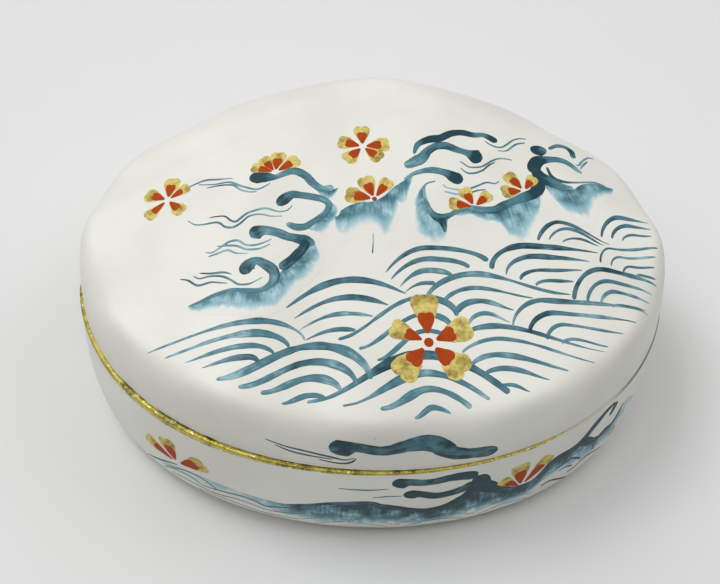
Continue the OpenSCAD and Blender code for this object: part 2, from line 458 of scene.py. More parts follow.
def paint_top_tree():
    """Paints a drawing on a shell from straight above: its points are plan places."""
    tree, given = new_tree("Paint Top", PAINT_SOCKETS)
    mesh, drawn = ribbons(tree, given)
    lay(tree, given, mesh, vector(tree, drawn[0], drawn[1], RAY_HEIGHT), vector(tree, 0.0, 0.0, -1.0))
    return tree


def paint_wall_tree():
    """Paints a drawing round a shell's wall: its points are lengths round from the front, and heights."""
    sockets = dict(PAINT_SOCKETS)
    sockets["Unroll Radius"] = "NodeSocketFloat"
    sockets.update({label: "NodeSocketFloat" for label in OUTLINE_SOCKETS})
    tree, given = new_tree("Paint Wall", sockets)
    mesh, drawn = ribbons(tree, given)
    edge, out = shell_edge(given, drawn[0] / given["Unroll Radius"] - math.pi / 2)
    start = vector(tree, edge[0] + RAY_AWAY * out[0], edge[1] + RAY_AWAY * out[1], drawn[1])
    lay(tree, given, mesh, start, vector(tree, -1 * out[0], -1 * out[1], 0.0))
    return tree


# Making and keeping pieces

def tree_named(name, maker):
    """The tree of that name, made on first use."""
    return bpy.data.node_groups.get(name) or maker()


def line_mesh(name, points, lines, attributes):
    """Mesh object of points and edges that carries named numbers or vectors on its points."""
    mesh = bpy.data.meshes.new(name)
    mesh.from_pydata(points, lines, [])
    for label, values in attributes.items():
        flat = not isinstance(values[0], tuple)
        layer = mesh.attributes.new(label, "FLOAT" if flat else "FLOAT_VECTOR", "POINT")
        for item, value in zip(layer.data, values):
            if flat:
                item.value = value
            else:
                item.vector = value
    piece = bpy.data.objects.new(name, mesh)
    bpy.context.scene.collection.objects.link(piece)
    return piece


def grow(piece, tree, values):
    """Runs a node tree on a piece and keeps the result as its plain mesh."""
    modifier = piece.modifiers.new(tree.name, "NODES")
    modifier.node_group = tree
    for item in tree.interface.items_tree:
        if item.item_type == "SOCKET" and item.in_out == "INPUT" and item.name in values:
            modifier[item.identifier] = values[item.name]
    bpy.context.view_layer.update()
    graph = bpy.context.evaluated_depsgraph_get()
    grown = bpy.data.meshes.new_from_object(piece.evaluated_get(graph), preserve_all_data_layers=True,
                                            depsgraph=graph)
    start = piece.data
    piece.modifiers.remove(modifier)
    piece.data = grown
    grown.name = piece.name
    bpy.data.meshes.remove(start)
    if not grown.polygons:
        raise RuntimeError(piece.name + " came out empty")
    return piece


def shell_values(sizes):
    """Values for the inputs that every tree which follows the shell has."""
    return {label: getattr(sizes, label.lower().replace(" ", "_")) for label in SHELL_SOCKETS}


# Sections of the two halves

LIP_BENDS = 4
RIM_BENDS = 5


class Section:
    """Line that is carried round the shell, built point by point."""

    def __init__(self):
        self.rows = []

    def point(self, height, inset=0.0, share=1.0, ridge=0.0, shoulder=0.0, fold=0.0):
        self.rows.append((height, inset, share, ridge, shoulder, fold))

    def piece(self, name):
        labels = ("height", "inset", "share", "ridge", "shoulder", "fold")
        columns = {label: [row[k] for row in self.rows] for k, label in enumerate(labels)}
        points = [(0.0, row[1], row[0]) for row in self.rows]
        lines = [(k, k + 1) for k in range(len(points) - 1)]
        return line_mesh(name, points, lines, columns)


def steps(count, low=0.0, high=1.0):
    """Even steps from low to high, both included."""
    return [low + (high - low) * k / count for k in range(count + 1)]


def ring_shares(count):
    """Shares of the way from the crown to the rim, from the rim on, closest together at the shoulder."""
    bias = 2.5
    return [1 - step ** bias for step in steps(count)]


def top_height(sizes, part):
    """Height that the shallow top adds, for a share of the way from the crown to the rim."""
    soft = sizes.crown_soft

    def softened(value):
        return math.sqrt(value * value + soft * soft) - soft

    rise = sizes.lid_top - sizes.seam_height - sizes.shoulder_rise
    return rise * (1 - (softened(part) / softened(1)) ** sizes.top_power)


def lid_section(sizes):
    """From the inside of the crown, down the hollow, round the mouth and up to the crown outside."""
    outer_rings = 84
    inner_rings = 40
    section = Section()
    for part in reversed(ring_shares(inner_rings)[1:]):
        section.point(sizes.seam_height + top_height(sizes, part), sizes.rim_wall, part,
                      shoulder=sizes.shoulder_rise - sizes.crown_thick)
    mouth = sizes.seam_height + sizes.gilt_thick
    section.point(mouth, sizes.rim_wall)
    section.point(mouth, sizes.lid_step + sizes.gilt_thick, ridge=1)
    section.point(sizes.lid_foot, sizes.lid_step + sizes.gilt_thick, ridge=1)
    wall_rise = sizes.shoulder_rise - (sizes.lid_foot - sizes.seam_height)
    for part in ring_shares(outer_rings):
        section.point(sizes.lid_foot + top_height(sizes, part), sizes.lid_step + sizes.paint_room, part,
                      ridge=1, shoulder=wall_rise, fold=1)
    return section


def body_section(sizes):
    """From the middle of the foot, up the wall, over seat and lip, and down to the floor's middle."""
    wall_rings = 44
    flat_rings = 6
    wall_power = 3.2
    foot_power = 3.5
    ridge_fade = 2

    def fall(psi):
        return math.sin(psi) ** (2 / wall_power)

    def drawn_in(psi):
        return 1 - max(math.cos(psi), 0.0) ** (2 / foot_power)

    section = Section()
    for part in steps(flat_rings)[:-1]:
        section.point(0.0, sizes.paint_room + sizes.foot_inset, part)
    for psi in steps(wall_rings, math.pi / 2, 0):
        low = fall(psi)
        section.point(sizes.body_top * (1 - low), sizes.paint_room + sizes.foot_inset * drawn_in(psi),
                      ridge=(1 - low) ** ridge_fade)
    seat = sizes.seam_height - sizes.gilt_thick
    lip_outside = sizes.rim_wall + sizes.lip_gap
    lip_inside = lip_outside + sizes.lip_thick
    lip_top = sizes.seam_height + sizes.lip_height
    edge = sizes.edge_round
    section.point(sizes.body_top, sizes.gilt_thick, ridge=1)
    section.point(seat, sizes.gilt_thick, ridge=1)
    section.point(seat, lip_outside)
    lean = (sizes.lip_height / (sizes.shoulder_rise - sizes.crown_thick)) ** sizes.shoulder_power
    lip_lean = sizes.shoulder_in * (1 - (1 - lean) ** (1 / sizes.shoulder_power))
    section.point(lip_top - edge, lip_outside + lip_lean)
    for bend in steps(LIP_BENDS, math.pi / 2, 0):
        section.point(lip_top - edge * (1 - math.cos(bend)),
                      lip_outside + lip_lean + edge * (1 - math.sin(bend)))
    for bend in steps(LIP_BENDS, 0, math.pi / 2):
        section.point(lip_top - edge * (1 - math.cos(bend)),
                      lip_inside + lip_lean - edge * (1 - math.sin(bend)))
    for psi in steps(wall_rings // 2, 0, math.pi / 2):
        section.point(sizes.seam_height + (sizes.floor_thick - sizes.seam_height) * fall(psi),
                      lip_inside + sizes.floor_round * drawn_in(psi))
    for part in steps(flat_rings, 1, 0)[1:]:
        section.point(sizes.floor_thick, lip_inside + sizes.floor_round, part)
    return section


def body_gilt_section(sizes):
    """Gold on the body's rim: a line down the outside with a soft edge, and the seat inside it."""
    section = Section()
    low = sizes.body_top
    high = sizes.seam_height
    edge = sizes.edge_round
    section.point(low, sizes.gilt_thick, ridge=1)
    section.point(low, 0.0, ridge=1)
    for bend in steps(RIM_BENDS, 0, math.pi / 2):
        section.point(high - edge * (1 - math.sin(bend)), edge * (1 - math.cos(bend)), ridge=1)
    section.point(high, sizes.rim_wall)
    section.point(high - sizes.gilt_thick, sizes.rim_wall)
    section.point(high - sizes.gilt_thick, sizes.gilt_thick, ridge=1)
    section.point(low, sizes.gilt_thick, ridge=1)
    return section


def lid_gilt_section(sizes):
    """Gold on the lid's rim: a thin line up the outside, and the flat underside."""
    section = Section()
    low = sizes.seam_height
    high = sizes.lid_foot
    edge = sizes.gilt_round
    outside = sizes.lid_step
    section.point(low, sizes.rim_wall)
    for bend in steps(RIM_BENDS, 0, math.pi / 2):
        section.point(low + edge * (1 - math.cos(bend)), outside + edge * (1 - math.sin(bend)), ridge=1)
    section.point(high, outside, ridge=1)
    section.point(high, outside + sizes.gilt_thick, ridge=1)
    section.point(low + sizes.gilt_thick, outside + sizes.gilt_thick, ridge=1)
    section.point(low + sizes.gilt_thick, sizes.rim_wall)
    section.point(low, sizes.rim_wall)
    return section


# Drawings: strokes in millimetres, given in plan on the lid's top, or round and up on the walls

class Drawing:
    """Lines in a flat drawing, with what the brush does at each of their points."""
    LEVELS = 7
    LEVEL_STEP = 0.06
    LEAST_SPREAD = 0.01
    HAIR_END = 0.4
    WASH_END = 0.05
    PETAL_STEPS = 5
    PETAL_SWELL = 1.7

    def __init__(self):
        self.points = []
        self.lines = []
        self.columns = {"half_width": [], "along": [], "tone": [], "reach": [], "level": []}
        self.count = 0

    def line(self, spots, half_widths, tones, reaches=None):
        """Adds one line from its points; each list holds one value for each point.

        Lines that follow one another lie at slightly different heights, so that none melts into the next.
        """
        count = len(spots)
        first = len(self.points)
        along = [0.0]
        for (x0, y0), (x1, y1) in zip(spots, spots[1:]):
            along.append(along[-1] + math.hypot(x1 - x0, y1 - y0))
        self.points += [(x * MM, y * MM, 0.0) for x, y in spots]
        self.lines += [(first + k, first + k + 1) for k in range(count - 1)]
        self.columns["half_width"] += [value * MM for value in half_widths]
        self.columns["along"] += along
        self.columns["tone"] += tones
        self.columns["reach"] += [(x * MM, y * MM, 0.0) for x, y in reaches or [(0, 0)] * count]
        self.columns["level"] += [self.LEVEL_STEP * (self.count % self.LEVELS)] * count
        self.count += 1

    def stroke(self, path, tone, dark):
        """Adds a brush stroke from points with their half width; it is darker where the brush is pressed."""
        widths = [point[2] for point in path]
        spread = max(max(widths) - min(widths), self.LEAST_SPREAD)
        tones = [tone + dark * ((width - min(widths)) / spread) ** 2 for width in widths]
        self.line([point[:2] for point in path], widths, tones)

    def hair(self, path, half_width, free_tone, tone):
        """Adds a thin line of spray: darkest at its free end, and thinning out at both."""
        last = len(path) - 1
        swells = [math.sin(math.pi * k / last) for k in range(last + 1)]
        widths = [half_width * between(self.HAIR_END, 1.0, swell) for swell in swells]
        tones = [between(free_tone, tone, min(2 * k / last, 1.0)) for k in range(last + 1)]
        self.line(path, widths, tones)

    def wash(self, path, tones=None):
        """Adds a wash from points with the reach over which it thins; its ends run almost to nothing."""
        last = len(path) - 1
        tones = tones or [1.0] * (last + 1)
        reaches = [point[2:] for point in path]
        for end in (0, last):
            reaches[end] = tuple(self.WASH_END * value for value in reaches[end])
        self.line([point[:2] for point in path], [0] * (last + 1), tones, reaches)

    def petal(self, centre, turn, near, far, half_width, parting, foot):
        """Adds a petal of two round-ended strokes that part towards the tip, so that it is notched.

        The foot is the share of the brush's width with which both strokes start.
        """
        for side in (-parting, parting):
            spots = []
            widths = []
            for part in steps(self.PETAL_STEPS):
                along = near + (far - near) * part
                aside = side * part
                spots.append((centre[0] + along * math.cos(turn) - aside * math.sin(turn),
                              centre[1] + along * math.sin(turn) + aside * math.cos(turn)))
                widths.append(half_width * between(foot, 1.0, min(self.PETAL_SWELL * part, 1.0)))
            self.line(spots, widths, steps(self.PETAL_STEPS))

    def piece(self, name):
        """Mesh object of the drawing's lines."""
        return line_mesh(name, self.points, self.lines, self.columns)


def between(first, second, part):
    """Value or point between two others."""
    if isinstance(first, tuple):
        return tuple(a + (b - a) * part for a, b in zip(first, second))
    return first + (second - first) * part


def wave_point(foot, crest, level, step):
    """Point of a wave line between a foot and its crest.

    Where level is 0 the line leaves its foot straight up, like a quarter of an ellipse; where it is 1, flat.
    """
    turn = step * math.pi / 2
    run = between(1 - math.cos(turn), step, level)
    height = between(math.sin(turn), (1 - math.cos(2 * turn)) / 2, level)
    return between(foot[0], crest[0], run), between(foot[1], crest[1], height)


# How a fan's lines stray from one another: steps to a crest, drift in millimetres, and ranges of shares
FAN_STEPS = 6
FAN_DRIFT = 0.16
FAN_BRUSHES = (0.9, 1.1)
FAN_THINNING = 0.25
FAN_HEAVY_PLACES = (0.4, 0.62)
FAN_ENDS = (0.4, 1.0)
FAN_TAPER = 1.7
FAN_TONES = (0.24, 0.5)
FAN_DARK = 0.16


class Fan(NamedTuple):
    """Nested wave lines from an outer one to an inner one, each with a left foot, a crest and a right foot.

    The brush is half of a line's width where it is pressed most, the levels say how flat the line leaves its
    left and its right foot, and the ends are the shares of the brush's width at the two feet.
    """
    outer: tuple
    inner: tuple
    lines: int
    brush: float
    levels: tuple
    ends: tuple

    def draw(self, drawing, chance):
        """Draws the lines, each a little off its even place, width and tone."""
        for part in steps(self.lines - 1):
            feet = [between(a, b, part) for a, b in zip(self.outer, self.inner)]
            left, crest, right = [(x + chance.uniform(-FAN_DRIFT, FAN_DRIFT),
                                   y + chance.uniform(-FAN_DRIFT, FAN_DRIFT)) for x, y in feet]
            spots = [wave_point(left, crest, self.levels[0], step) for step in steps(FAN_STEPS)]
            spots += [wave_point(right, crest, self.levels[1], step)
                      for step in steps(FAN_STEPS, 1, 0)[1:]]
            brush = self.brush * chance.uniform(*FAN_BRUSHES) * (1 - FAN_THINNING * part)
            heavy = chance.uniform(*FAN_HEAVY_PLACES)
            ends = [share * chance.uniform(*FAN_ENDS) for share in self.ends]
            path = []
            for (x, y), step in zip(spots, steps(len(spots) - 1)):
                first = step < heavy
                away = (heavy - step) / heavy if first else (step - heavy) / (1 - heavy)
                path.append((x, y, brush * between(1.0, ends[0] if first else ends[1], away ** FAN_TAPER)))
            drawing.stroke(path, chance.uniform(*FAN_TONES), FAN_DARK)


WAVE_FANS = (
    Fan(((-30.5, -20), (-16, -16.7), (-9.5, -19.5)), ((-23, -23), (-16.8, -22), (-15.5, -22.8)), 4, 0.46,
        (0.6, 0.1), (0.15, 0.6)),
    Fan(((-21, -25), (-8, -20.4), (-0.8, -25.2)), ((-12.5, -28), (-8.6, -27), (-6.4, -27.7)), 4, 0.54,
        (0.95, 0.1), (0.7, 0.65)),
    Fan(((-9, -28), (7, -21.5), (17.5, -26.5)), ((5, -30), (7.5, -28.4), (10, -29)), 4, 0.56, (1, 0.5),
        (0.7, 0.7)),
    Fan(((-12, -15), (-3.5, -11), (4, -12.7)), ((-9.5, -19.5), (-5, -18), (-2.6, -18.4)), 4, 0.48,
        (0.5, 0.5), (0.25, 0.6)),
    Fan(((-5, -19.5), (6.6, -13), (11, -15.7)), ((0, -22.7), (7, -18), (9.3, -19)), 3, 0.46, (0.9, 0),
        (0.6, 0.7)),
    Fan(((1.2, -10), (7.2, -5.7), (15, -7.5)), ((4, -12.8), (7, -11), (8, -11.1)), 4, 0.42, (0.4, 0),
        (0.2, 0.9)),
    Fan(((7, -13.4), (14.3, -9.3), (26.5, -11.1)), ((9.1, -14.1), (14, -11.6), (21.5, -12.1)), 2, 0.44,
        (0.1, 1), (0.8, 0.25)),
    Fan(((10.9, -15.3), (14.1, -13.5), (18.6, -14.4)), ((12.3, -16.9), (14.8, -15.4), (18, -16.2)), 2,
        0.4, (0.1, 0.8), (0.8, 0.3)),
    Fan(((15.7, -8.6), (21, -4.2), (31, -3.8)), ((22, -10.2), (24.6, -9.4), (27.3, -9.1)), 4, 0.4,
        (0, 0.7), (0.8, 0.3)),
    Fan(((22.3, -3.4), (26, 0.5), (33, -2)), ((26, -3), (28.7, -1.8), (31.4, -2.5)), 3, 0.34, (0.3, 0.8),
        (0.5, 0.15)),
    Fan(((31.8, -0.8), (35, 3), (39, 3)), ((34.8, -1), (37, 0.4), (39.4, 0.6)), 3, 0.3, (0.1, 0.5),
        (0.6, 0.3)),
    Fan(((31.2, -5.3), (33, -2.5), (40, -1)), ((36.3, -6.6), (37.2, -6), (39.2, -5.8)), 4, 0.26, (0, 0.6),
        (0.7, 0.3)),
    Fan(((27, -12), (32, -6.3), (39.5, -6.8)), ((32.6, -12.4), (34, -11.8), (37.2, -12)), 4, 0.36,
        (0.1, 0.8), (0.8, 0.2)),
    Fan(((18.3, -17), (23.3, -12.2), (37.8, -12.2)), ((25.2, -18.5), (26.8, -17.5), (31.4, -18.3)), 4,
        0.38, (0.1, 1), (0.8, 0.25)),
    Fan(((12.8, -17.6), (16.8, -17), (31, -18.9)), ((11.3, -20.8), (16.8, -18.9), (29.5, -20.5)), 2, 0.38,
        (0.3, 0.8), (0.6, 0.2)),
    Fan(((12.6, -22.7), (16.5, -21), (25.7, -22.2)), ((16, -25.6), (17.8, -25.2), (20.5, -26.2)), 3, 0.36,
        (0.2, 0.8), (0.6, 0.3)),
)

# Strokes of the crests: points to the right and back, each with half of the brush's width
CREST_STROKES = (
    ((-17.6, 5.3, 0.8), (-16.7, 5.6, 1.1), (-15.4, 5.6, 0.95), (-14, 5.5, 0.42), (-12.8, 6, 0.5),
     (-11.3, 6.4, 0.6), (-9.8, 5.6, 0.62), (-8.7, 4.2, 0.58), (-7.4, 3.2, 0.58), (-5.8, 3.5, 0.48)),
    ((-13.5, 0.8, 0.6), (-12.8, 1.7, 0.85), (-11.6, 2.5, 0.65), (-10.2, 2.3, 0.58), (-8.6, 1.9, 0.6),
     (-7.3, 1.5, 0.5), (-6.5, 0.8, 0.48), (-6.7, -0.3, 0.46), (-7.7, -1.3, 0.44), (-8.7, -2.1, 0.46),
     (-9.7, -2.8, 0.55), (-11, -2.8, 0.55), (-12.3, -2.1, 0.3)),
    ((-17.2, -3.9, 0.7), (-16.4, -3.3, 1.1), (-15.2, -3, 0.75), (-13.5, -3.5, 0.65), (-12.2, -4.2, 0.65),
     (-10.9, -4.6, 0.65), (-9.6, -5, 0.85), (-8.3, -5.5, 0.35)),
    ((-9.4, -4.9, 0.7), (-9.8, -5.9, 0.68), (-10.7, -7.1, 0.68), (-11.9, -8.3, 0.68), (-13.1, -9.2, 0.6)),
    ((-17.2, -9.6, 0.85), (-17.5, -8.9, 1.1), (-17.1, -8.1, 0.9), (-16.2, -7.7, 0.62), (-15, -8.4, 0.68),
     (-13.9, -9.5, 0.75), (-13.8, -10.8, 0.7), (-14.6, -11.8, 0.5), (-15.9, -12.3, 0.35),
     (-17.7, -12.1, 0.3), (-19.8, -11.9, 0.3), (-21.9, -12.5, 0.26), (-23.7, -13.3, 0.2),
     (-25.3, -13.9, 0.1)),
    ((5.4, 9.3, 0.18), (6, 11, 0.46), (7.5, 12, 0.56), (9.2, 12.4, 0.58), (10.7, 13.4, 0.58),
     (12.3, 13.8, 0.58), (14, 13.6, 0.45), (15.4, 13.8, 0.4), (16.5, 13.4, 0.55), (17.4, 12.8, 0.6)),
    ((4, 7.2, 0.65), (5.2, 7.8, 0.85), (6.5, 8.7, 0.8), (7.4, 10, 0.62), (8.6, 10.9, 0.62),
     (10, 11.1, 0.62), (11.4, 10.6, 0.56), (12.9, 10.2, 0.62), (14.2, 9.7, 1.25), (15.2, 9.5, 1.0)),
    ((3.9, 4.9, 0.15), (5.2, 5.9, 0.32), (7.1, 6.6, 0.45), (8.5, 6.7, 0.52), (9.9, 6.4, 0.65),
     (11.2, 5.7, 1.05), (12.3, 5.5, 0.95)),
    ((8.4, 4.9, 0.1), (7, 4.3, 0.15), (6.7, 3.2, 0.2), (7, 1.5, 0.28), (7.7, -0.3, 0.42),
     (8.8, -1.1, 0.65), (10.3, -0.5, 0.38), (11.5, 0.4, 0.44), (12.8, 0.9, 0.5), (14.4, 0.8, 0.56),
     (16.4, 0.9, 0.56), (17.5, 1.5, 0.6), (19.2, 2.6, 0.66), (20.8, 3.6, 0.75), (22.4, 4.7, 0.9),
     (23.2, 6.2, 0.9), (23, 7.6, 0.9)),
    ((8.8, -1.1, 0.55), (9.3, -2.1, 0.45), (9.5, -3.4, 0.2)),
    ((22.7, 8.1, 0.9), (22.6, 9.3, 1.05), (23.3, 10.6, 1), (24.7, 11.4, 0.72), (26.6, 12, 0.58),
     (28, 11.7, 0.5), (29.1, 10.8, 0.42), (29.9, 10.3, 0.2)),
    ((22.5, 8.8, 0.95), (23.4, 7.8, 0.95), (24.3, 7.3, 0.85), (25.4, 6.9, 0.7), (26.8, 6.5, 0.58),
     (28.2, 6.6, 0.3)),
    ((22.6, 12, 0.9), (23.2, 12.7, 1.1), (24, 13.2, 0.95), (24.8, 13.5, 0.5)),
    ((24.5, 9.7, 0.18), (25, 8.2, 0.25), (26, 7.6, 0.24), (27.4, 7.5, 0.22), (29.2, 8, 0.17),
     (31.5, 9, 0.14), (33.2, 8.9, 0.1)),
    ((25.1, 13.8, 0.24), (26.4, 14.9, 0.38), (27.7, 15.2, 0.45), (28.6, 14.5, 0.5), (28.8, 13.1, 0.42)),
    ((-0.4, -3.8, 0.05), (-0.4, -5.4, 0.07), (-0.5, -7, 0.1)),
)

# Thin lines of spray, each from its free end
CREST_SPRAY = (
    ((-26.5, 5.1), (-24, 6.1), (-22.2, 6.1), (-19.9, 6)),
    ((-24.8, 5.5), (-22.5, 5.3), (-20.4, 5.4), (-19, 4.6), (-17.8, 4), (-16.5, 3.6), (-15.3, 4.1),
     (-14.6, 4.6)),
    ((-23.6, 4.8), (-21.7, 5), (-19.9, 4.8), (-18.8, 3.8), (-17.6, 3.3), (-16.4, 3.2)),
    ((-26, -0.4), (-25, -1.3), (-23.8, -1.5), (-21.8, -1.4), (-20.7, -2.2), (-19.6, -2.3), (-18.6, -1.7),
     (-17.5, -0.7), (-16, -0.4), (-14.3, -0.8), (-12.8, -0.9)),
    ((-23, -0.5), (-22, -0.4), (-20.8, -0.5), (-20, -1.2), (-19.2, -1.4), (-17.9, -0.3), (-16.7, 0.2),
     (-15.2, 0.5), (-13.5, -0.1), (-12.2, 0), (-11.5, 0.8)),
    ((-23.3, -6), (-22.4, -6.1), (-21.3, -5.4), (-20, -4.5), (-18.8, -4.4), (-17.8, -5.1), (-16.4, -5.2),
     (-15, -4.8), (-14.2, -4.4)),
    ((-22.9, -6.7), (-21.7, -6.3), (-20.3, -5.8), (-19, -6.3), (-17.4, -6.4)),
    ((-21.8, -5.2), (-20.5, -5.1), (-19, -5.2), (-17.6, -5.8), (-15.8, -5.8), (-14.4, -5.2)),
    ((-26.6, -9.9), (-25.5, -10.1), (-24.6, -10.7), (-23.9, -10.9), (-22.4, -10.5), (-21.4, -10.6),
     (-20, -10.8)),
    ((-24.8, -9.5), (-23.9, -9.9), (-22.5, -9.6), (-20.9, -9.7), (-19.7, -10.3), (-18.6, -11.1),
     (-17.2, -11.2), (-16, -10.7), (-15.3, -10.3)),
    ((-24, -9.1), (-22.4, -9.2), (-20.7, -9.1), (-19.5, -9.5)),
    ((21.9, 14.8), (20.8, 14.6), (19.8, 13.9), (19, 12.9), (18.2, 12.1), (17.3, 11.9), (16.2, 12.3),
     (15.6, 12.8)),
    ((21.7, 14), (20.3, 13.2), (19.5, 12.3), (18.6, 11.4), (17.3, 11.3)),
    ((19.5, 9.9), (18.7, 10), (17.5, 9.9), (16.5, 9.3), (15.6, 8.5), (14.7, 7.9), (13.2, 7.7),
     (12.3, 8.3), (11.8, 8.6)),
    ((17, 9.2), (16, 8.4), (15, 7.3), (13.8, 6.7), (12.8, 6.7), (11.9, 7.5)),
    ((17.4, 5.9), (16.8, 5.3), (15.5, 5.3), (14.2, 4.6), (12.6, 3.9), (11, 3.8), (9.8, 4), (9.4, 4.5)),
    ((15.5, 4.1), (14.3, 3.9), (12.9, 3.3), (11.4, 3), (10, 3.2), (9.5, 3.3)),
    ((32.1, 14.3), (31.1, 14.1), (30, 12.8), (29.5, 11.9), (29, 12)),
    ((31, 13.3), (30.2, 12.2), (29.6, 11.1)),
)

# How many times farther than drawn the washes run
WASH_SPREAD = 1.25
# Washes of the crests: points, each with the reach over which the wash thins
CREST_WASHES = (
    ((-9, 4.2, 0.4, -0.8), (-8, 3.4, 0.6, -1.6), (-6.6, 3, 0.6, -1.6), (-5.2, 3.4, 0.2, -1.4)),
    ((-6.5, 1.4, 0.6, 0), (-6.2, 0.6, 1, -0.5), (-6.4, -0.4, 1.1, -1), (-7.4, -1.4, 1.2, -1.4),
     (-8.6, -2.3, 1, -1.5), (-9.8, -3, 0.4, -1)),
    ((-8.5, -5.2, 0.8, -0.6), (-9.3, -6.2, 1.9, -0.9), (-10.3, -7.4, 2.3, -1.4), (-11.5, -8.6, 2.2, -2),
     (-12.9, -9.7, 1.8, -2.6), (-13.4, -10.8, 1.4, -2.8), (-14.2, -11.9, 0.8, -3), (-15.8, -12.5, 0, -3),
     (-17.7, -12.2, -0.4, -3), (-19.8, -12, -0.6, -2.8), (-22, -12.6, -0.6, -2.2),
     (-24, -13.5, -0.6, -1.2), (-25.3, -14, -0.3, -0.3)),
    ((-5.7, -1.1, 0, -0.4), (-5, -0.4, -0.4, -3), (-3.8, 0.5, -0.2, -4.6), (-2.1, 1.1, 0.1, -3.6),
     (-0.4, 1.2, 0.3, -3.8), (1.1, 2.1, 0.3, -6.8), (2.6, 3.7, 0.4, -4), (4.1, 4.9, 0.1, -3.6),
     (5.2, 5.7, 0.1, -1)),
    ((6.9, 4.4, -0.3, -0.2), (6.6, 3.2, -1, -0.6), (6.8, 1.6, -1.7, -2), (7.4, 0.2, -1.6, -4),
     (8.2, -0.8, -0.8, -4.4), (9.2, -1.2, 0.4, -3.2), (9.9, -0.9, 0.4, -1)),
    ((10.4, -0.6, 0, -0.3), (11.6, 0.2, 0.1, -0.8), (12.8, 0.7, 0.3, -1.1), (14.4, 0.6, 0.8, -1.6),
     (16.4, 0.7, 1, -2.2), (17.6, 1.3, 1.4, -5.2), (19.3, 2.4, 1.8, -6), (20.9, 3.4, 1.4, -4),
     (22.6, 4.5, 0.6, -2.4), (23.2, 5.6, 0.2, -0.8)),
    ((23.4, 7, 0.3, -0.8), (24.2, 6.6, 1.5, -3), (25.2, 6.2, 2.4, -4.2), (26.8, 6, 2.8, -4.6),
     (28.2, 6.4, 2.4, -4), (29.4, 7.6, 1.8, -3.2), (31.5, 8.8, 1.4, -2.6), (33.2, 8.8, 1, -1.6),
     (34.4, 8.8, 0.4, -0.3)),
)

# On the lid's skirt: points round and up, with half of the brush's width in the stroke
SKIRT_STROKE = (
    (-5.4, 23.8, 1.4), (-4, 24.6, 1.8), (-2.2, 25.1, 1.0), (0.4, 24.5, 0.95), (2, 24.7, 1.1),
    (3.8, 25.4, 1.2), (6, 25.6, 1.3), (7.8, 24.8, 1.35), (9.2, 23.2, 1.4), (11, 22.2, 1.4),
    (13.2, 21.8, 1.3), (15.6, 21.3, 1.0),
)
SKIRT_SPRAY = (
    ((-13.6, 24.1), (-11, 23.4), (-8.6, 23.1), (-5.6, 22.5), (-3.6, 22), (-2.4, 22.7)),
    ((-12.4, 23.3), (-10.4, 22.5), (-8.6, 22.2), (-5, 21.9)),
    ((-6.8, 21.5), (-4.2, 21), (-2.8, 21.5), (-2.2, 22.6)),
)

# On the body, in the same way
BODY_STROKES = (
    ((2.4, 16.5, 1.1), (3.4, 16.9, 1.35), (4.6, 17.1, 0.9), (6, 16.8, 0.8), (7.7, 16.8, 0.85),
     (9.7, 17.2, 0.9), (11.7, 17.1, 1.0), (13.2, 16.5, 1.2)),
    ((4.1, 13.2, 1.1), (5, 13.8, 1.3), (6.2, 13.7, 0.85), (8, 12.9, 0.75), (9.9, 13.1, 0.8),
     (11.5, 13.7, 0.9), (13.2, 14.8, 1.2)),
    ((13.2, 16.5, 1.0), (13.8, 14.9, 1.4), (13.4, 13.2, 1.4), (12.4, 11.6, 1.1), (10.8, 10.3, 0.8),
     (9.1, 9.3, 0.65), (6.6, 9, 0.55), (3.3, 10.4, 0.45), (1.1, 11.2, 0.4), (-0.5, 11.9, 0.4),
     (-5.1, 11, 0.36), (-8, 9.8, 0.28), (-10.8, 8.8, 0.16)),
    ((13.6, 14.4, 1.2), (15.2, 12.4, 1.2), (16.8, 10.9, 1.0), (18.3, 9.8, 0.85), (20.8, 9.4, 0.8),
     (22.3, 10, 0.8), (23.6, 11.6, 0.85), (24.6, 12.9, 0.9), (25.8, 13.4, 0.9), (27.9, 13.5, 0.9),
     (29.2, 13.9, 1.0), (30.2, 14.8, 0.9), (31.2, 16, 0.8), (32.3, 16.9, 0.75), (33.6, 17.8, 0.65),
     (34.9, 18.1, 0.6), (35.7, 18.2, 0.5)),
    ((35.7, 18.1, 0.5), (35.9, 17.2, 0.65), (35, 15.5, 0.45)),
    ((29.4, 14, 0.8), (30.6, 13.2, 0.9), (31.7, 12.1, 0.8), (33.4, 11.6, 0.6), (34.7, 12.1, 0.6),
     (36.3, 11.9, 0.65), (37.4, 12.8, 0.5), (38.2, 14.3, 0.35), (38.9, 14.8, 0.2)),
)
# Lengths round the wall, each with how far the gold runs down past the rim there
RIM_GOLD_DROPS = ((-60, 0.08), (-54, 0.16), (-48, 0.22), (-42, 0.34), (-37, 0.42), (-33, 0.5), (-29, 0.6),
                  (-26, 0.56), (-23, 0.5), (-20, 0.36), (-17, 0.24), (-13, 0.12), (-8, 0.05))
BODY_SPRAY = (
    ((-4.2, 15.4), (-2.2, 15.3), (-0.2, 15.3), (2, 15.6)),
    ((0, 13.2), (1.8, 13.6), (3.8, 13.6)),
)

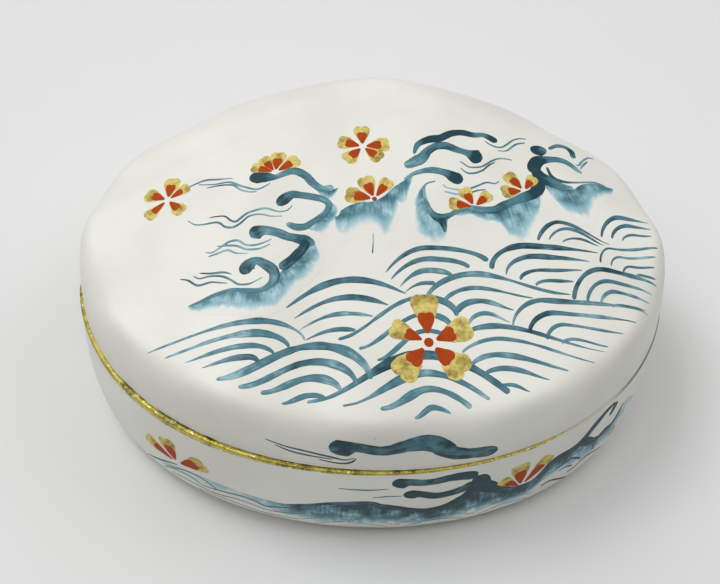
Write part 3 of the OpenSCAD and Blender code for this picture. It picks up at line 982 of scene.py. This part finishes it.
SMALL_LEVELS = (0.6, 0.6)
SMALL_ENDS = (0.4, 0.4)
BODY_FANS = (
    Fan(((-9, 4.4), (-3, 7.4), (4, 4)), ((-5.5, 2.2), (-2.4, 3.4), (1.5, 2.2)), 3, 0.11, SMALL_LEVELS,
        SMALL_ENDS),
    Fan(((3, 4.4), (8.5, 7), (14, 4.4)), ((6, 2.2), (8.8, 3.4), (11.5, 2.4)), 3, 0.11, SMALL_LEVELS,
        SMALL_ENDS),
    Fan(((13, 4.8), (18, 7.2), (23, 5.2)), ((16, 2), (18.5, 3.2), (21, 2.6)), 3, 0.12, SMALL_LEVELS,
        SMALL_ENDS),
)
BODY_EDGES = (
    ((-33.4, 4.6, 0.16), (-31.2, 6, 0.2), (-28.5, 7.9, 0.18), (-26.8, 8.8, 0.1)),
    ((-29.2, 6.3, 0.1), (-25.6, 8.3, 0.14), (-23.4, 8.6, 0.14), (-21.9, 8, 0.14), (-20.6, 6.9, 0.14)),
    ((-30.1, 4.8, 0.1), (-27.4, 6.8, 0.14), (-25.9, 7.2, 0.14), (-24.3, 7, 0.14), (-23, 6.2, 0.14),
     (-20.6, 6.8, 0.16), (-17.2, 7.7, 0.16), (-15, 7.5, 0.18), (-13.7, 6.7, 0.16), (-11.5, 7.5, 0.16),
     (-9.1, 8.3, 0.12)),
    ((-28.7, 4.5, 0.08), (-26.1, 5.2, 0.12), (-23.4, 5.1, 0.12), (-20.6, 5.3, 0.12), (-17, 6.2, 0.12),
     (-13.7, 5.4, 0.12), (-11.5, 5.7, 0.12), (-9.1, 6.5, 0.1)),
    ((-24, 3.8, 0.08), (-20, 4.4, 0.1), (-16.6, 4.1, 0.1), (-13.3, 3.7, 0.1), (-9.3, 4.2, 0.08)),
    ((36.7, 8.1, 0.25), (37.8, 8.6, 0.3), (38, 9.8, 0.2)),
    ((32.9, 8.5, 0.2), (32.7, 10.6, 0.25)),
    ((28.3, 6.6, 0.18), (29.6, 6.6, 0.22), (31, 7.6, 0.25), (32.7, 7.5, 0.25), (36, 5.8, 0.2)),
    ((25.4, 10.3, 0.2), (27.2, 10.8, 0.22), (28.5, 10.7, 0.22), (30.5, 8.6, 0.2)),
    ((26.3, 8.9, 0.18), (27.4, 9.1, 0.2), (29, 8.1, 0.18)),
    ((23.7, 6.6, 0.22), (25.6, 6.8, 0.25), (29.2, 3.6, 0.25)),
)
# Points round and up, each with the drop over which the wash thins, and its tone
BODY_WASH = (
    (-31.2, 5.6, 1, 0.2), (-28.5, 7.5, 2.4, 0.35), (-24.3, 9, 3, 0.35), (-20.6, 9.1, 3, 0.4),
    (-17.7, 9.1, 2.6, 0.45), (-14.6, 8.9, 3, 0.6), (-11.5, 8.8, 4, 0.9), (-8, 9.6, 5.4, 1.3),
    (-5.1, 10.8, 6.6, 1.6), (-0.5, 11.8, 7.4, 1.7), (3.3, 10.2, 6, 1.7), (6.6, 8.7, 4.6, 1.7),
    (9.1, 9, 4.6, 1.7), (10.8, 10.2, 5.4, 1.7), (12.8, 11.6, 6.6, 1.7), (14.4, 12, 7, 1.6),
    (16.1, 11, 5.6, 1.6), (18.3, 9.6, 4.4, 1.6), (20.8, 9.2, 3.6, 1.6), (22.3, 9.9, 3.4, 1.6),
    (23.6, 11.6, 3.4, 1.6), (24.8, 12.8, 4, 1.6), (26.3, 13.3, 4.4, 1.5), (28, 13.5, 5.4, 1.3),
    (29.6, 13.6, 6, 1.1), (31.4, 12.2, 5.4, 0.9), (33.4, 11.4, 4.4, 0.9), (34.7, 11.9, 4.4, 0.9),
    (36.3, 11.7, 4.4, 0.9), (37.4, 12.6, 4.4, 0.8), (38.6, 14.4, 5, 0.6), (40.5, 14.4, 5, 0.4),
    (43, 12, 4, 0.3),
)


class Petal(NamedTuple):
    """Form of a petal's paint, as shares of the petal's reach from the blossom's centre."""
    near: float
    far: float
    half_width: float
    parting: float
    foot: float

    def draw(self, drawing, centre, degrees, reach, width):
        """Draws the petal in a direction from the blossom's centre."""
        drawing.petal(centre, math.radians(degrees), self.near * reach, self.far * reach,
                      self.half_width * width * reach, self.parting * width * reach, self.foot)


LARGE_GOLD = Petal(0.4, 1, 0.18, 0.16, 0.8)
LARGE_HEART = Petal(0.18, 0.62, 0.105, 0.09, 0.25)
SMALL_GOLD = Petal(0.2, 1, 0.21, 0.15, 0.35)
SMALL_HEART = Petal(0.14, 0.7, 0.125, 0.09, 0.3)
SIDE_GOLD = Petal(0.3, 1, 0.19, 0.14, 0.5)
SIDE_HEART = Petal(0.14, 0.72, 0.13, 0.08, 0.25)
DOT_TONE = 0.2


class Blossom(NamedTuple):
    """Cherry blossom at a place in a drawing: gold petals, each with a red heart, and perhaps a red dot.

    Each petal has its direction in degrees, its reach, and its width as a share of the usual one.
    """
    x: float
    y: float
    petals: tuple
    gold: Petal = SMALL_GOLD
    heart: Petal = SMALL_HEART
    dot: float = 0.0

    def draw(self, gold, red):
        """Draws the gold in one drawing and the red in another."""
        x, y = self.x, self.y
        for degrees, reach, width in self.petals:
            self.gold.draw(gold, (x, y), degrees, reach, width)
            self.heart.draw(red, (x, y), degrees, reach, width)
        if self.dot:
            red.line([(x - self.dot, y), (x, y), (x + self.dot, y)], [self.dot] * 3, [DOT_TONE] * 3)


LID_BLOSSOMS = (
    Blossom(7, -19.6, ((95, 6.9, 0.95), (24, 6.2, 1), (-40, 6.4, 1.1), (232, 6.5, 1.05), (160, 5.4, 0.9)),
            LARGE_GOLD, LARGE_HEART, 0.65),
    Blossom(-1.8, 10.4, ((93, 3.6, 1), (8, 3.8, 1), (-40, 3.4, 1), (226, 3.5, 1), (165, 3.6, 1))),
    Blossom(-29, 3.5, ((80, 3.7, 1), (155, 3.5, 1), (223, 3.9, 0.7), (-46, 3.3, 1), (34, 3.5, 0.7))),
    Blossom(-14, 6.3, ((158, 3.6, 0.75), (125, 3.4, 0.8), (82, 3.5, 1), (34, 3.9, 0.8))),
    Blossom(-0.2, 1.6, ((168, 4.1, 1), (112, 3.9, 1), (57, 3.9, 0.8)), dot=0.35),
    Blossom(13.7, 1.2, ((176, 3.6, 0.9), (118, 3.3, 1), (45, 3.3, 0.9))),
    Blossom(20.9, 4.8, ((194, 3.4, 1), (134, 3.6, 1), (60, 3.2, 0.9))),
)
BODY_BLOSSOMS = (
    Blossom(-26.8, 9.4, ((160, 6, 0.8), (110, 5.4, 0.95), (36, 5.8, 1)), SIDE_GOLD, SIDE_HEART),
    Blossom(19.9, 9.9, ((132, 4.8, 0.7), (96, 6.3, 0.75), (55, 6.9, 0.6)), SIDE_GOLD, SIDE_HEART),
)


# Materials: each material's function returns the inputs of its shader

# Scales of the noise in the finishes, in waves to the metre
GLAZE_CLOUDS = 55.0
GLAZE_SPECKS = 170.0
GLAZE_DULLNESS = 140.0
GLAZE_DIMPLES = 90.0
GLAZE_PITS = 700.0
CLAY_EDGE = 300.0
CLAY_GRAIN = 2400.0
RIM_GRAIN = 2600.0
RIM_PATCHES = 420.0
RIM_SPARKS = 1700.0
RIM_DIMPLES = 700.0
BRUSH_CLOUDS = 170.0
BRUSH_MOTTLE = 700.0
WASH_CLOUDS = 420.0
PETAL_GRAIN = 2200.0
PETAL_PATCHES = 650.0
RED_CLOUDS = 700.0
PAPER_CLOUDS = 6.0

# Depths of the relief, and the ragged edge of the glaze above the foot
GLAZE_RELIEF = 0.06 * MM
RIM_RELIEF = 0.1 * MM
BRUSH_RELIEF = 0.03 * MM
PETAL_RELIEF = 0.05 * MM
RED_RELIEF = 0.04 * MM
CLAY_RAGGED = 0.6 * MM
CLAY_EDGE_LOW = 0.3 * MM
CLAY_EDGE_HIGH = 0.7 * MM

RARE_SPECK = 0.965
GOLD_METAL = 0.6


def material_named(name, maker):
    """The material of that name; on first use the maker gives the inputs of its principled shader."""
    material = bpy.data.materials.get(name)
    if material is None:
        material = bpy.data.materials.new(name)
        material.use_nodes = True
        tree = material.node_tree
        place = tree.nodes.new("ShaderNodeTexCoord").outputs["Object"]
        shader = tree.nodes["Principled BSDF"]
        for label, value in maker(tree, place, bpy.context.scene.incense_finishes).items():
            feed(tree, value, shader.inputs[label])
    return material


def blend(tree, factor, first, second):
    """Colour socket that goes from the first to the second as the factor goes from 0 to 1."""
    ends = [value if isinstance(value, bpy.types.NodeSocket) else (*value, 1.0) for value in (first, second)]
    node = add(tree, "ShaderNodeMix", {"Factor": factor, "A": ends[0], "B": ends[1]}, data_type="RGBA")
    return live(node.outputs, "Result")


def bumped(tree, height, depth):
    """Normal socket of fine relief, with its depth in metres."""
    return add(tree, "ShaderNodeBump", {"Strength": 1.0, "Distance": depth, "Height": height}).outputs[0]


def glaze_look(tree, place, finishes):
    """Colour, roughness and relief of the white glaze: cloudy, faintly specked and softly uneven."""
    cloud = noise(tree, place, GLAZE_CLOUDS, 4.0).eased(0.35, 0.7)
    white = blend(tree, cloud, finishes.glaze, finishes.glaze_shade)
    cells = add(tree, "ShaderNodeTexVoronoi", {"Vector": place, "Scale": GLAZE_SPECKS}, feature="F1")
    chance = add(tree, "ShaderNodeSeparateColor", {"Color": cells.outputs["Color"]}).outputs[0]
    rare = Field(tree, chance).above(RARE_SPECK)
    dot = (1 - Field(tree, cells.outputs["Distance"]).eased(0.05, 0.11)) * rare
    toned = blend(tree, dot * 0.55, white, finishes.speck)
    rough = 0.34 + 0.16 * noise(tree, place, GLAZE_DULLNESS)
    relief = noise(tree, place, GLAZE_DIMPLES, 2.0) + 0.25 * noise(tree, place, GLAZE_PITS, 2.0)
    return toned, rough, relief


def glaze_material(tree, place, finishes):
    """Warm white satin glaze, with bare clay where the foot stands."""
    toned, rough, relief = glaze_look(tree, place, finishes)
    height = parts(tree, place)[2]
    ragged = height + CLAY_RAGGED * (noise(tree, place, CLAY_EDGE) - 0.5)
    bare = 1 - ragged.eased(CLAY_EDGE_LOW, CLAY_EDGE_HIGH)
    grain = noise(tree, place, CLAY_GRAIN, 4.0)
    clay = blend(tree, grain, [0.75 * value for value in finishes.clay], finishes.clay)
    return {
        "Base Color": blend(tree, bare, toned, clay),
        "Roughness": rough + bare * 0.5,
        "Normal": bumped(tree, relief + bare * grain * 0.6, GLAZE_RELIEF),
    }


# Where the gold line is broadest and where it is bare, clockwise from the right end as seen from above
GOLD_TURN = math.radians(140)
GOLD_RIGHT_GAP = math.radians(5)
GOLD_LEFT_GAP = math.radians(-167)


def gold_look(tree, place, finishes, thin):
    """Colour, roughness and relief of hand-laid gold: bright, grainy, dark in patches, with painted glints.
    """
    grain = noise(tree, place, RIM_GRAIN, 4.0)
    patch = noise(tree, place, RIM_PATCHES, 3.0).eased(0.45, 0.7)
    # thin darkens the gold and takes its glints away; the rims pass it as painted shade.
    worn = (patch * 0.6 + 0.5 * grain.eased(0.45, 0.7) + thin).least(1.0)
    laid = blend(tree, worn, finishes.rim_gold, finishes.rim_gold_dark)
    # Painted glints: bright flecks laid into the gold's colour where light would glint.
    painted_glint = noise(tree, place, RIM_SPARKS, 2.0).eased(0.6, 0.7) * (1 - thin)
    relief = grain + noise(tree, place, RIM_DIMPLES)
    return blend(tree, painted_glint, laid, finishes.painted_gold_glint), 0.22 + 0.3 * grain, relief


def rim_gold_material(tree, place, finishes):
    """Gold laid on the rims by hand: broad and bright on the left, worn off to bare glaze at the right."""
    toned, rough, _ = glaze_look(tree, place, finishes)
    x, y, z = parts(tree, place)
    turn = y.step("ARCTAN2", y, x)
    wander = noise(tree, place, RIM_PATCHES, 3.0) - 0.5
    to_right = (turn + GOLD_RIGHT_GAP).cosine()
    bare_right = to_right.eased(0.67, 0.78)
    bare_left = (turn + GOLD_LEFT_GAP).cosine().eased(0.94, 0.97)
    kept = (1 - bare_right) * (1 - bare_left)
    reach = (0.25 + 0.75 * (turn + GOLD_TURN).cosine().most(0.0) ** 2.0 + 0.5 * wander) * kept
    below = (BODY_GILT_HIGH.z - z) / (BODY_GILT_HIGH.z - BODY_GILT_LOW.z)
    above = (z - LID_GILT_LOW.z) / (LID_GILT_HIGH.z - LID_GILT_LOW.z)
    away = below.most(above)
    gold = 1 - (away - reach).eased(-0.06, 0.06)
    # Painted shade: the lid's part of the line, above the seam, is darkened by half and loses its glints.
    bright, smooth, relief = gold_look(tree, place, finishes, 0.5 * above.above(0.1))
    # Painted shadow: a dark line on the bare glaze just under the rim at the right, for the shade in the gap.
    seam = bare_right * (0.15 + 0.6 * to_right.eased(0.88, 0.95)) * (1 - away.eased(0.15, 0.4))
    bare = blend(tree, seam, toned, finishes.blue_dark)
    return {
        "Base Color": blend(tree, gold, bare, bright),
        "Roughness": gold * smooth + (1 - gold) * rough,
        "Metallic": gold * GOLD_METAL,
        "Normal": bumped(tree, relief, RIM_RELIEF),
    }


def brushed_gold_material(tree, place, finishes):
    """Gold that runs past the body's rim onto the glaze."""
    bright, smooth, relief = gold_look(tree, place, finishes, 0.0)
    normal = bumped(tree, relief, RIM_RELIEF)
    return {"Base Color": bright, "Roughness": smooth, "Metallic": GOLD_METAL, "Normal": normal}


def attribute(tree, name):
    """A number that the painted ribbons carry on their points, as a field."""
    return Field(tree, add(tree, "ShaderNodeAttribute", attribute_name=name).outputs["Fac"])


def three_tones(tree, density, light, middle, dark):
    """Colour socket that goes from light over middle to dark as the density goes from 0 to 1."""
    first = blend(tree, density.eased(0.0, 0.5), light, middle)
    return blend(tree, density.eased(0.5, 1.0), first, dark)


def brush_blue_material(tree, place, finishes):
    """Blue underglaze put on with a brush: streaked along the stroke, cloudy, and pooled where pressed."""
    across = attribute(tree, "across")
    streak = noise(tree, vector(tree, attribute(tree, "along") * 0.35, across * 1.6, 0.0), 1.0, 3.0) - 0.5
    cloud = noise(tree, place, BRUSH_CLOUDS, 2.0) - 0.5
    mottle = noise(tree, place, BRUSH_MOTTLE, 3.0) - 0.5
    pooled = 0.2 * across.size() ** 4.0
    density = attribute(tree, "tone") + 1.5 * cloud + 0.9 * streak + 0.8 * mottle + pooled
    return {
        "Base Color": three_tones(tree, density, finishes.blue_light, finishes.blue, finishes.blue_dark),
        "Roughness": 0.45 + 0.2 * mottle,
        "Specular IOR Level": 0.3,
        "Normal": bumped(tree, mottle + noise(tree, place, GLAZE_DIMPLES, 2.0), BRUSH_RELIEF),
    }


def wash_blue_material(tree, place, finishes):
    """Blue wash over the glaze: mottled, deepest at its crest, and ragged at its end."""
    toned, rough, relief = glaze_look(tree, place, finishes)
    out = (attribute(tree, "across") + 1) * 0.5
    along = attribute(tree, "along")
    broad = noise(tree, vector(tree, along * 0.5, out * 0.6, 0.0), 1.0, 2.0) - 0.5
    fine = noise(tree, vector(tree, along * 2.8, out * 2.4, 7.0), 1.0, 3.0) - 0.5
    cloud = noise(tree, place, WASH_CLOUDS, 4.0) - 0.5
    ragged = (out + 0.55 * broad + 0.3 * fine + 0.7 * cloud).eased(0.4, 0.85)
    left = (1 - ragged) * (1 - out.eased(0.8, 1.0))
    crest = 1 + 0.6 * (1 - out) ** 3.0
    mottle = 0.62 + 0.6 * broad + 0.7 * fine + 1.8 * cloud
    density = (attribute(tree, "tone") * left * crest * mottle).most(0.0)
    strong = blend(tree, density.eased(0.35, 1.1), finishes.blue_wash, finishes.blue)
    deep = blend(tree, density.eased(0.95, 1.7), strong, finishes.blue_dark)
    return {
        "Base Color": blend(tree, density.eased(0.0, 0.5), toned, deep),
        "Roughness": rough,
        "Specular IOR Level": 0.35,
        "Normal": bumped(tree, relief, GLAZE_RELIEF),
    }


def petal_gold_material(tree, place, finishes):
    """Gold paint on the petals: grainy, sponged on and thick in patches."""
    grain = noise(tree, place, PETAL_GRAIN, 4.0)
    patch = noise(tree, place, PETAL_PATCHES, 3.0).eased(0.4, 0.68)
    worn = (patch * 0.65 + 0.35 * grain.eased(0.45, 0.7)).least(1.0)
    return {
        "Base Color": blend(tree, worn, finishes.petal_gold, finishes.petal_gold_dark),
        "Roughness": 0.45 + 0.25 * grain,
        "Metallic": 0.25,
        "Specular IOR Level": 0.3,
        "Normal": bumped(tree, grain, PETAL_RELIEF),
    }


def petal_red_material(tree, place, finishes):
    """Red enamel in the hearts of the petals: thick, paler in patches."""
    cloud = noise(tree, place, RED_CLOUDS, 3.0)
    thin = (0.9 * (cloud - 0.3) + 0.25 * attribute(tree, "tone")).most(0.0)
    return {
        "Base Color": blend(tree, thin, finishes.red, finishes.red_light),
        "Roughness": 0.4 + 0.2 * cloud,
        "Specular IOR Level": 0.12,
        "Normal": bumped(tree, cloud, RED_RELIEF),
    }


def floor_material(tree, place, finishes):
    """Pale matt paper."""
    tone = noise(tree, place, PAPER_CLOUDS, 2.0)
    shaded_pale = [0.985 * value for value in finishes.floor]
    return {"Base Color": blend(tree, tone, finishes.floor, shaded_pale), "Roughness": 0.9}


# Pieces on the frame

def carried(name, section, material, shift=0.0):
    """Piece made by carrying a section round the shell; the shift moves its edge away from the front left."""
    sizes = bpy.context.scene.incense_sizes
    values = shell_values(sizes)
    values["Shift"] = shift
    values["Turns"] = sizes.turns
    values["Material"] = material
    return grow(section(sizes).piece(name), tree_named("Carry Round", carry_round_tree), values)


PAINT_SINK = 0.03 * MM


def paint_coat(spacing, round_points, thickness, seed, unevenness=0.0, wander=1.0, steepness=3.0):
    """How paint lies, with sizes in millimetres: its points, thickness, wandering width and steep edge."""
    return {"Spacing": spacing * MM, "Round Points": round_points, "Thickness": thickness * MM,
            "Sink": PAINT_SINK, "Steepness": steepness, "Unevenness": unevenness, "Wander": wander,
            "Seed": seed}


FAN_COAT = paint_coat(0.2, round_points=12, thickness=0.018, seed=1.0, unevenness=2.2, wander=150.0)
STROKE_COAT = paint_coat(0.2, round_points=12, thickness=0.018, seed=6.0, unevenness=0.7, wander=300.0)
EDGE_COAT = paint_coat(0.25, round_points=12, thickness=0.015, seed=5.0)
WASH_COAT = paint_coat(0.25, round_points=40, thickness=0.008, seed=2.0, steepness=1.0)
GOLD_COAT = paint_coat(0.1, round_points=28, thickness=0.028, seed=3.0, unevenness=0.5, wander=900.0)
RED_COAT = paint_coat(0.1, round_points=24, thickness=0.042, seed=4.0, unevenness=0.4, wander=700.0)
LID_SEED = 7
BODY_SEED = 11
# Millimetres between the rim's gold line and the gold that runs past it
RIM_CLEAR = 0.005
# Radius at which lengths round the wall become angles
UNROLL_RADIUS = 38 * MM
MATERIAL_COLUMNS = ("along", "across", "tone")


def painted(name, drawing, body, material, coat, wall=False):
    """Piece made by painting a drawing on one of the shells; it rides with that shell."""
    values = shell_values(bpy.context.scene.incense_sizes)
    values.update(coat)
    values["Shell"] = bpy.data.objects[body + "_shell"]
    values["Unroll Radius"] = UNROLL_RADIUS
    values["Material"] = material
    tree = tree_named("Paint Wall", paint_wall_tree) if wall else tree_named("Paint Top", paint_top_tree)
    piece = grow(drawing.piece(name), tree, values)
    if any(item.value > 0 for item in piece.data.attributes["missed"].data):
        raise RuntimeError(name + " runs off its shell")
    spare = [layer.name for layer in piece.data.attributes
             if not layer.is_internal and not layer.is_required and layer.name not in MATERIAL_COLUMNS]
    for label in spare:
        piece.data.attributes.remove(piece.data.attributes[label])
    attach(piece, body)


# Operators, one for each piece or group of like pieces

class INCENSE_OT_body_shell(bpy.types.Operator):
    """Make the glazed lower half with its foot, seat, lip and hollow"""
    bl_idname = "incense.body_shell"
    bl_label = "Body Shell"

    def execute(self, context):
        glaze = material_named("warm_white_glaze", glaze_material)
        piece = carried("body_shell", body_section, glaze)
        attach(piece, "body")
        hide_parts("body")
        return {"FINISHED"}


class INCENSE_OT_lid_shell(bpy.types.Operator):
    """Make the glazed upper half, a folded dome with a hollow underside"""
    bl_idname = "incense.lid_shell"
    bl_label = "Lid Shell"

    def execute(self, context):
        glaze = material_named("warm_white_glaze", glaze_material)
        piece = carried("lid_shell", lid_section, glaze, context.scene.incense_sizes.lid_shift)
        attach(piece, "lid")
        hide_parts("lid")
        return {"FINISHED"}


class INCENSE_OT_gold_lines(bpy.types.Operator):
    """Make the gold on the two mouth rims, and where it runs past the lower one"""
    bl_idname = "incense.gold_lines"
    bl_label = "Gold Lines"

    def execute(self, context):
        gold = material_named("rim_gold", rim_gold_material)
        lower = carried("body_gold_line", body_gilt_section, gold)
        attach(lower, "body")
        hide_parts("body_gilding")
        upper = carried("lid_gold_line", lid_gilt_section, gold, context.scene.incense_sizes.lid_shift)
        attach(upper, "lid")
        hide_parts("lid_gilding")
        brushed = material_named("brushed_gold", brushed_gold_material)
        below = Drawing()
        below.wash([(x, BODY_GILT_LOW.z / MM - RIM_CLEAR, 0, -drop) for x, drop in RIM_GOLD_DROPS])
        painted("body_gold_edge", below, "body", brushed, EDGE_COAT, wall=True)
        return {"FINISHED"}


class INCENSE_OT_wave_fans(bpy.types.Operator):
    """Paint the nested wave lines on the lid"""
    bl_idname = "incense.wave_fans"
    bl_label = "Wave Fans"

    def execute(self, context):
        chance = random.Random(LID_SEED)
        drawing = Drawing()
        for fan in WAVE_FANS:
            fan.draw(drawing, chance)
        blue = material_named("brush_blue", brush_blue_material)
        painted("lid_wave_lines", drawing, "lid", blue, FAN_COAT)
        return {"FINISHED"}


class INCENSE_OT_crests(bpy.types.Operator):
    """Paint the breaking crests on the lid with their washes and spray"""
    bl_idname = "incense.crests"
    bl_label = "Crests"

    def execute(self, context):
        washes = Drawing()
        for path in CREST_WASHES:
            washes.wash([(x, y, WASH_SPREAD * out, WASH_SPREAD * up) for x, y, out, up in path])
        wash = material_named("wash_blue", wash_blue_material)
        painted("lid_crest_washes", washes, "lid", wash, WASH_COAT)
        strokes = Drawing()
        for path in CREST_STROKES:
            strokes.stroke(path, tone=0.34, dark=0.7)
        for k, path in enumerate(CREST_SPRAY):
            strokes.hair(path, half_width=0.17, free_tone=0.5 if k % 2 else 0.9, tone=0.35)
        blue = material_named("brush_blue", brush_blue_material)
        painted("lid_crest_lines", strokes, "lid", blue, STROKE_COAT)
        return {"FINISHED"}


class INCENSE_OT_side_waves(bpy.types.Operator):
    """Paint the crest on the lid's skirt and the waves round the body"""
    bl_idname = "incense.side_waves"
    bl_label = "Side Waves"

    def execute(self, context):
        blue = material_named("brush_blue", brush_blue_material)
        skirt = Drawing()
        # Painted shade, in part: the skirt's lines get deeper tones than the lid's top, for the shade on the
        # skirt's front.
        skirt.stroke(SKIRT_STROKE, tone=0.85, dark=0.25)
        for path in SKIRT_SPRAY:
            skirt.hair(path, half_width=0.2, free_tone=1.1, tone=0.9)
        painted("lid_skirt_lines", skirt, "lid", blue, STROKE_COAT, wall=True)

        washes = Drawing()
        washes.wash([(x, y, 0, -WASH_SPREAD * drop) for x, y, drop, _ in BODY_WASH],
                    [tone for *_, tone in BODY_WASH])
        wash = material_named("wash_blue", wash_blue_material)
        painted("body_washes", washes, "body", wash, WASH_COAT, wall=True)

        chance = random.Random(BODY_SEED)
        lines = Drawing()
        # Painted shade, in part: the body's lines get deeper tones than the lid's top, for the shade on the
        # front wall.
        for path in BODY_STROKES:
            lines.stroke(path, tone=0.9, dark=0.25)
        for path in BODY_EDGES:
            lines.stroke(path, tone=0.7, dark=0.3)
        for path in BODY_SPRAY:
            lines.hair(path, half_width=0.14, free_tone=0.9, tone=0.6)
        for fan in BODY_FANS:
            fan.draw(lines, chance)
        painted("body_wave_lines", lines, "body", blue, STROKE_COAT, wall=True)
        return {"FINISHED"}


class INCENSE_OT_blossoms(bpy.types.Operator):
    """Paint the cherry blossoms on lid and body"""
    bl_idname = "incense.blossoms"
    bl_label = "Blossoms"

    def execute(self, context):
        gold = material_named("petal_gold", petal_gold_material)
        red = material_named("petal_red", petal_red_material)
        for body, blossoms in (("lid", LID_BLOSSOMS), ("body", BODY_BLOSSOMS)):
            outer = Drawing()
            hearts = Drawing()
            for blossom in blossoms:
                blossom.draw(outer, hearts)
            wall = body == "body"
            painted(body + "_petal_gold", outer, body, gold, GOLD_COAT, wall)
            painted(body + "_petal_red", hearts, body, red, RED_COAT, wall)
        return {"FINISHED"}


class INCENSE_OT_stage(bpy.types.Operator):
    """Make the floor, the studio light and the camera"""
    bl_idname = "incense.stage"
    bl_label = "Stage"

    def execute(self, context):
        make_floor()
        make_lights()
        make_camera()
        return {"FINISHED"}


# Stage

FLOOR_HALF = 1.5
LENS = 89.75
VIEW_AIM = Vector((-1.67, -2.37, 19.5)) * MM
VIEW_AZIMUTH = math.radians(-2.84)
VIEW_ELEVATION = math.radians(52.59)
VIEW_ROLL = math.radians(3.2)
VIEW_DISTANCE = 258.5 * MM
SENSOR_WIDTH = 36.0
CLIP_START = 0.01

LIGHT_AIM = Vector((0, 0, 0.02))
WHITE = (1.0, 1.0, 1.0)
WARM_WHITE = (1.0, 0.99, 0.96)
SKY_STRENGTH = 0.04
# Name, place and width in metres, power in watts and tint of each light
LIGHTS = (
    ("upper_left", (-0.5, 0.1, 1.2), 0.5, 5.3, WHITE),
    ("upper_right", (0.6, 0.1, 0.9), 0.8, 3.4, WHITE),
    ("behind", (0.0, 0.9, 0.6), 1.0, 2.0, WHITE),
    ("behind_left", (-0.6, 0.6, 0.8), 0.8, 1.9, WHITE),
    ("upper_front", (0.0, -0.5, 1.0), 0.8, 2.0, WHITE),
    ("front_left", (-0.55, -0.45, 1.1), 0.5, 1.8, WHITE),
    ("low_left", (-0.8, 0.0, 0.5), 0.6, 0.5, WARM_WHITE),
)


def make_floor():
    """Wide pale sheet that the box stands on."""
    mesh = bpy.data.meshes.new("floor")
    corners = [(x * FLOOR_HALF, y * FLOOR_HALF, 0.0) for x, y in ((-1, -1), (1, -1), (1, 1), (-1, 1))]
    mesh.from_pydata(corners, [], [(0, 1, 2, 3)])
    mesh.materials.append(material_named("pale_paper", floor_material))
    floor = bpy.data.objects.new("floor", mesh)
    bpy.context.scene.collection.objects.link(floor)


def area_light(name, place, size, power, tint):
    """Soft square light that looks at the box."""
    data = bpy.data.lights.new(name, "AREA")
    data.size = size
    data.energy = power
    data.color = tint
    lamp = bpy.data.objects.new(name, data)
    bpy.context.scene.collection.objects.link(lamp)
    lamp.location = place
    lamp.rotation_euler = (LIGHT_AIM - Vector(place)).to_track_quat("-Z", "Y").to_euler()


def make_lights():
    """Soft lights round the box, the strongest at the upper left, and a faint even sky."""
    scene = bpy.context.scene
    scene.view_settings.view_transform = "Standard"
    for light in LIGHTS:
        area_light(*light)
    world = bpy.data.worlds.new("studio")
    world.use_nodes = True
    sky = world.node_tree.nodes["Background"]
    sky.inputs["Color"].default_value = (*WHITE, 1.0)
    sky.inputs["Strength"].default_value = SKY_STRENGTH
    scene.world = world


def make_camera():
    """Camera at the photograph's viewing angle."""
    data = bpy.data.cameras.new("camera")
    data.lens = LENS
    data.sensor_width = SENSOR_WIDTH
    data.clip_start = CLIP_START
    camera = bpy.data.objects.new("camera", data)
    bpy.context.scene.collection.objects.link(camera)
    flat = math.cos(VIEW_ELEVATION)
    back = Vector((math.sin(VIEW_AZIMUTH) * flat, -math.cos(VIEW_AZIMUTH) * flat, math.sin(VIEW_ELEVATION)))
    level = Vector((math.cos(VIEW_AZIMUTH), math.sin(VIEW_AZIMUTH), 0.0))
    upright = back.cross(level)
    right = level * math.cos(VIEW_ROLL) + upright * math.sin(VIEW_ROLL)
    up = upright * math.cos(VIEW_ROLL) - level * math.sin(VIEW_ROLL)
    turn = Matrix((right, up, back)).transposed().to_4x4()
    camera.matrix_world = Matrix.Translation(VIEW_AIM + back * VIEW_DISTANCE) @ turn
    bpy.context.scene.camera = camera


class INCENSE_PT_panel(bpy.types.Panel):
    """Lists the steps in order"""
    bl_idname = "INCENSE_PT_panel"
    bl_label = "Incense Box"
    bl_space_type = "VIEW_3D"
    bl_region_type = "UI"
    bl_category = "Incense Box"

    def draw(self, context):
        column = self.layout.column()
        for operator in OPERATORS:
            column.operator(operator.bl_idname)


OPERATORS = (
    INCENSE_OT_body_shell,
    INCENSE_OT_lid_shell,
    INCENSE_OT_gold_lines,
    INCENSE_OT_wave_fans,
    INCENSE_OT_crests,
    INCENSE_OT_side_waves,
    INCENSE_OT_blossoms,
    INCENSE_OT_stage,
)
CLASSES = (ShellSizes, Finishes, *OPERATORS, INCENSE_PT_panel)


def register():
    """Registers the classes and hangs the settings on the scene."""
    for item in CLASSES:
        bpy.utils.register_class(item)
    bpy.types.Scene.incense_sizes = PointerProperty(type=ShellSizes)
    bpy.types.Scene.incense_finishes = PointerProperty(type=Finishes)


def unregister():
    """Takes the settings and the classes away again."""
    del bpy.types.Scene.incense_finishes
    del bpy.types.Scene.incense_sizes
    for item in reversed(CLASSES):
        bpy.utils.unregister_class(item)


def main():
    """Builds the pieces in order."""
    register()
    bpy.ops.incense.body_shell()
    bpy.ops.incense.lid_shell()
    bpy.ops.incense.gold_lines()
    bpy.ops.incense.wave_fans()
    bpy.ops.incense.crests()
    bpy.ops.incense.side_waves()
    bpy.ops.incense.blossoms()
    bpy.ops.incense.stage()


if __name__ == "__main__":
    main()
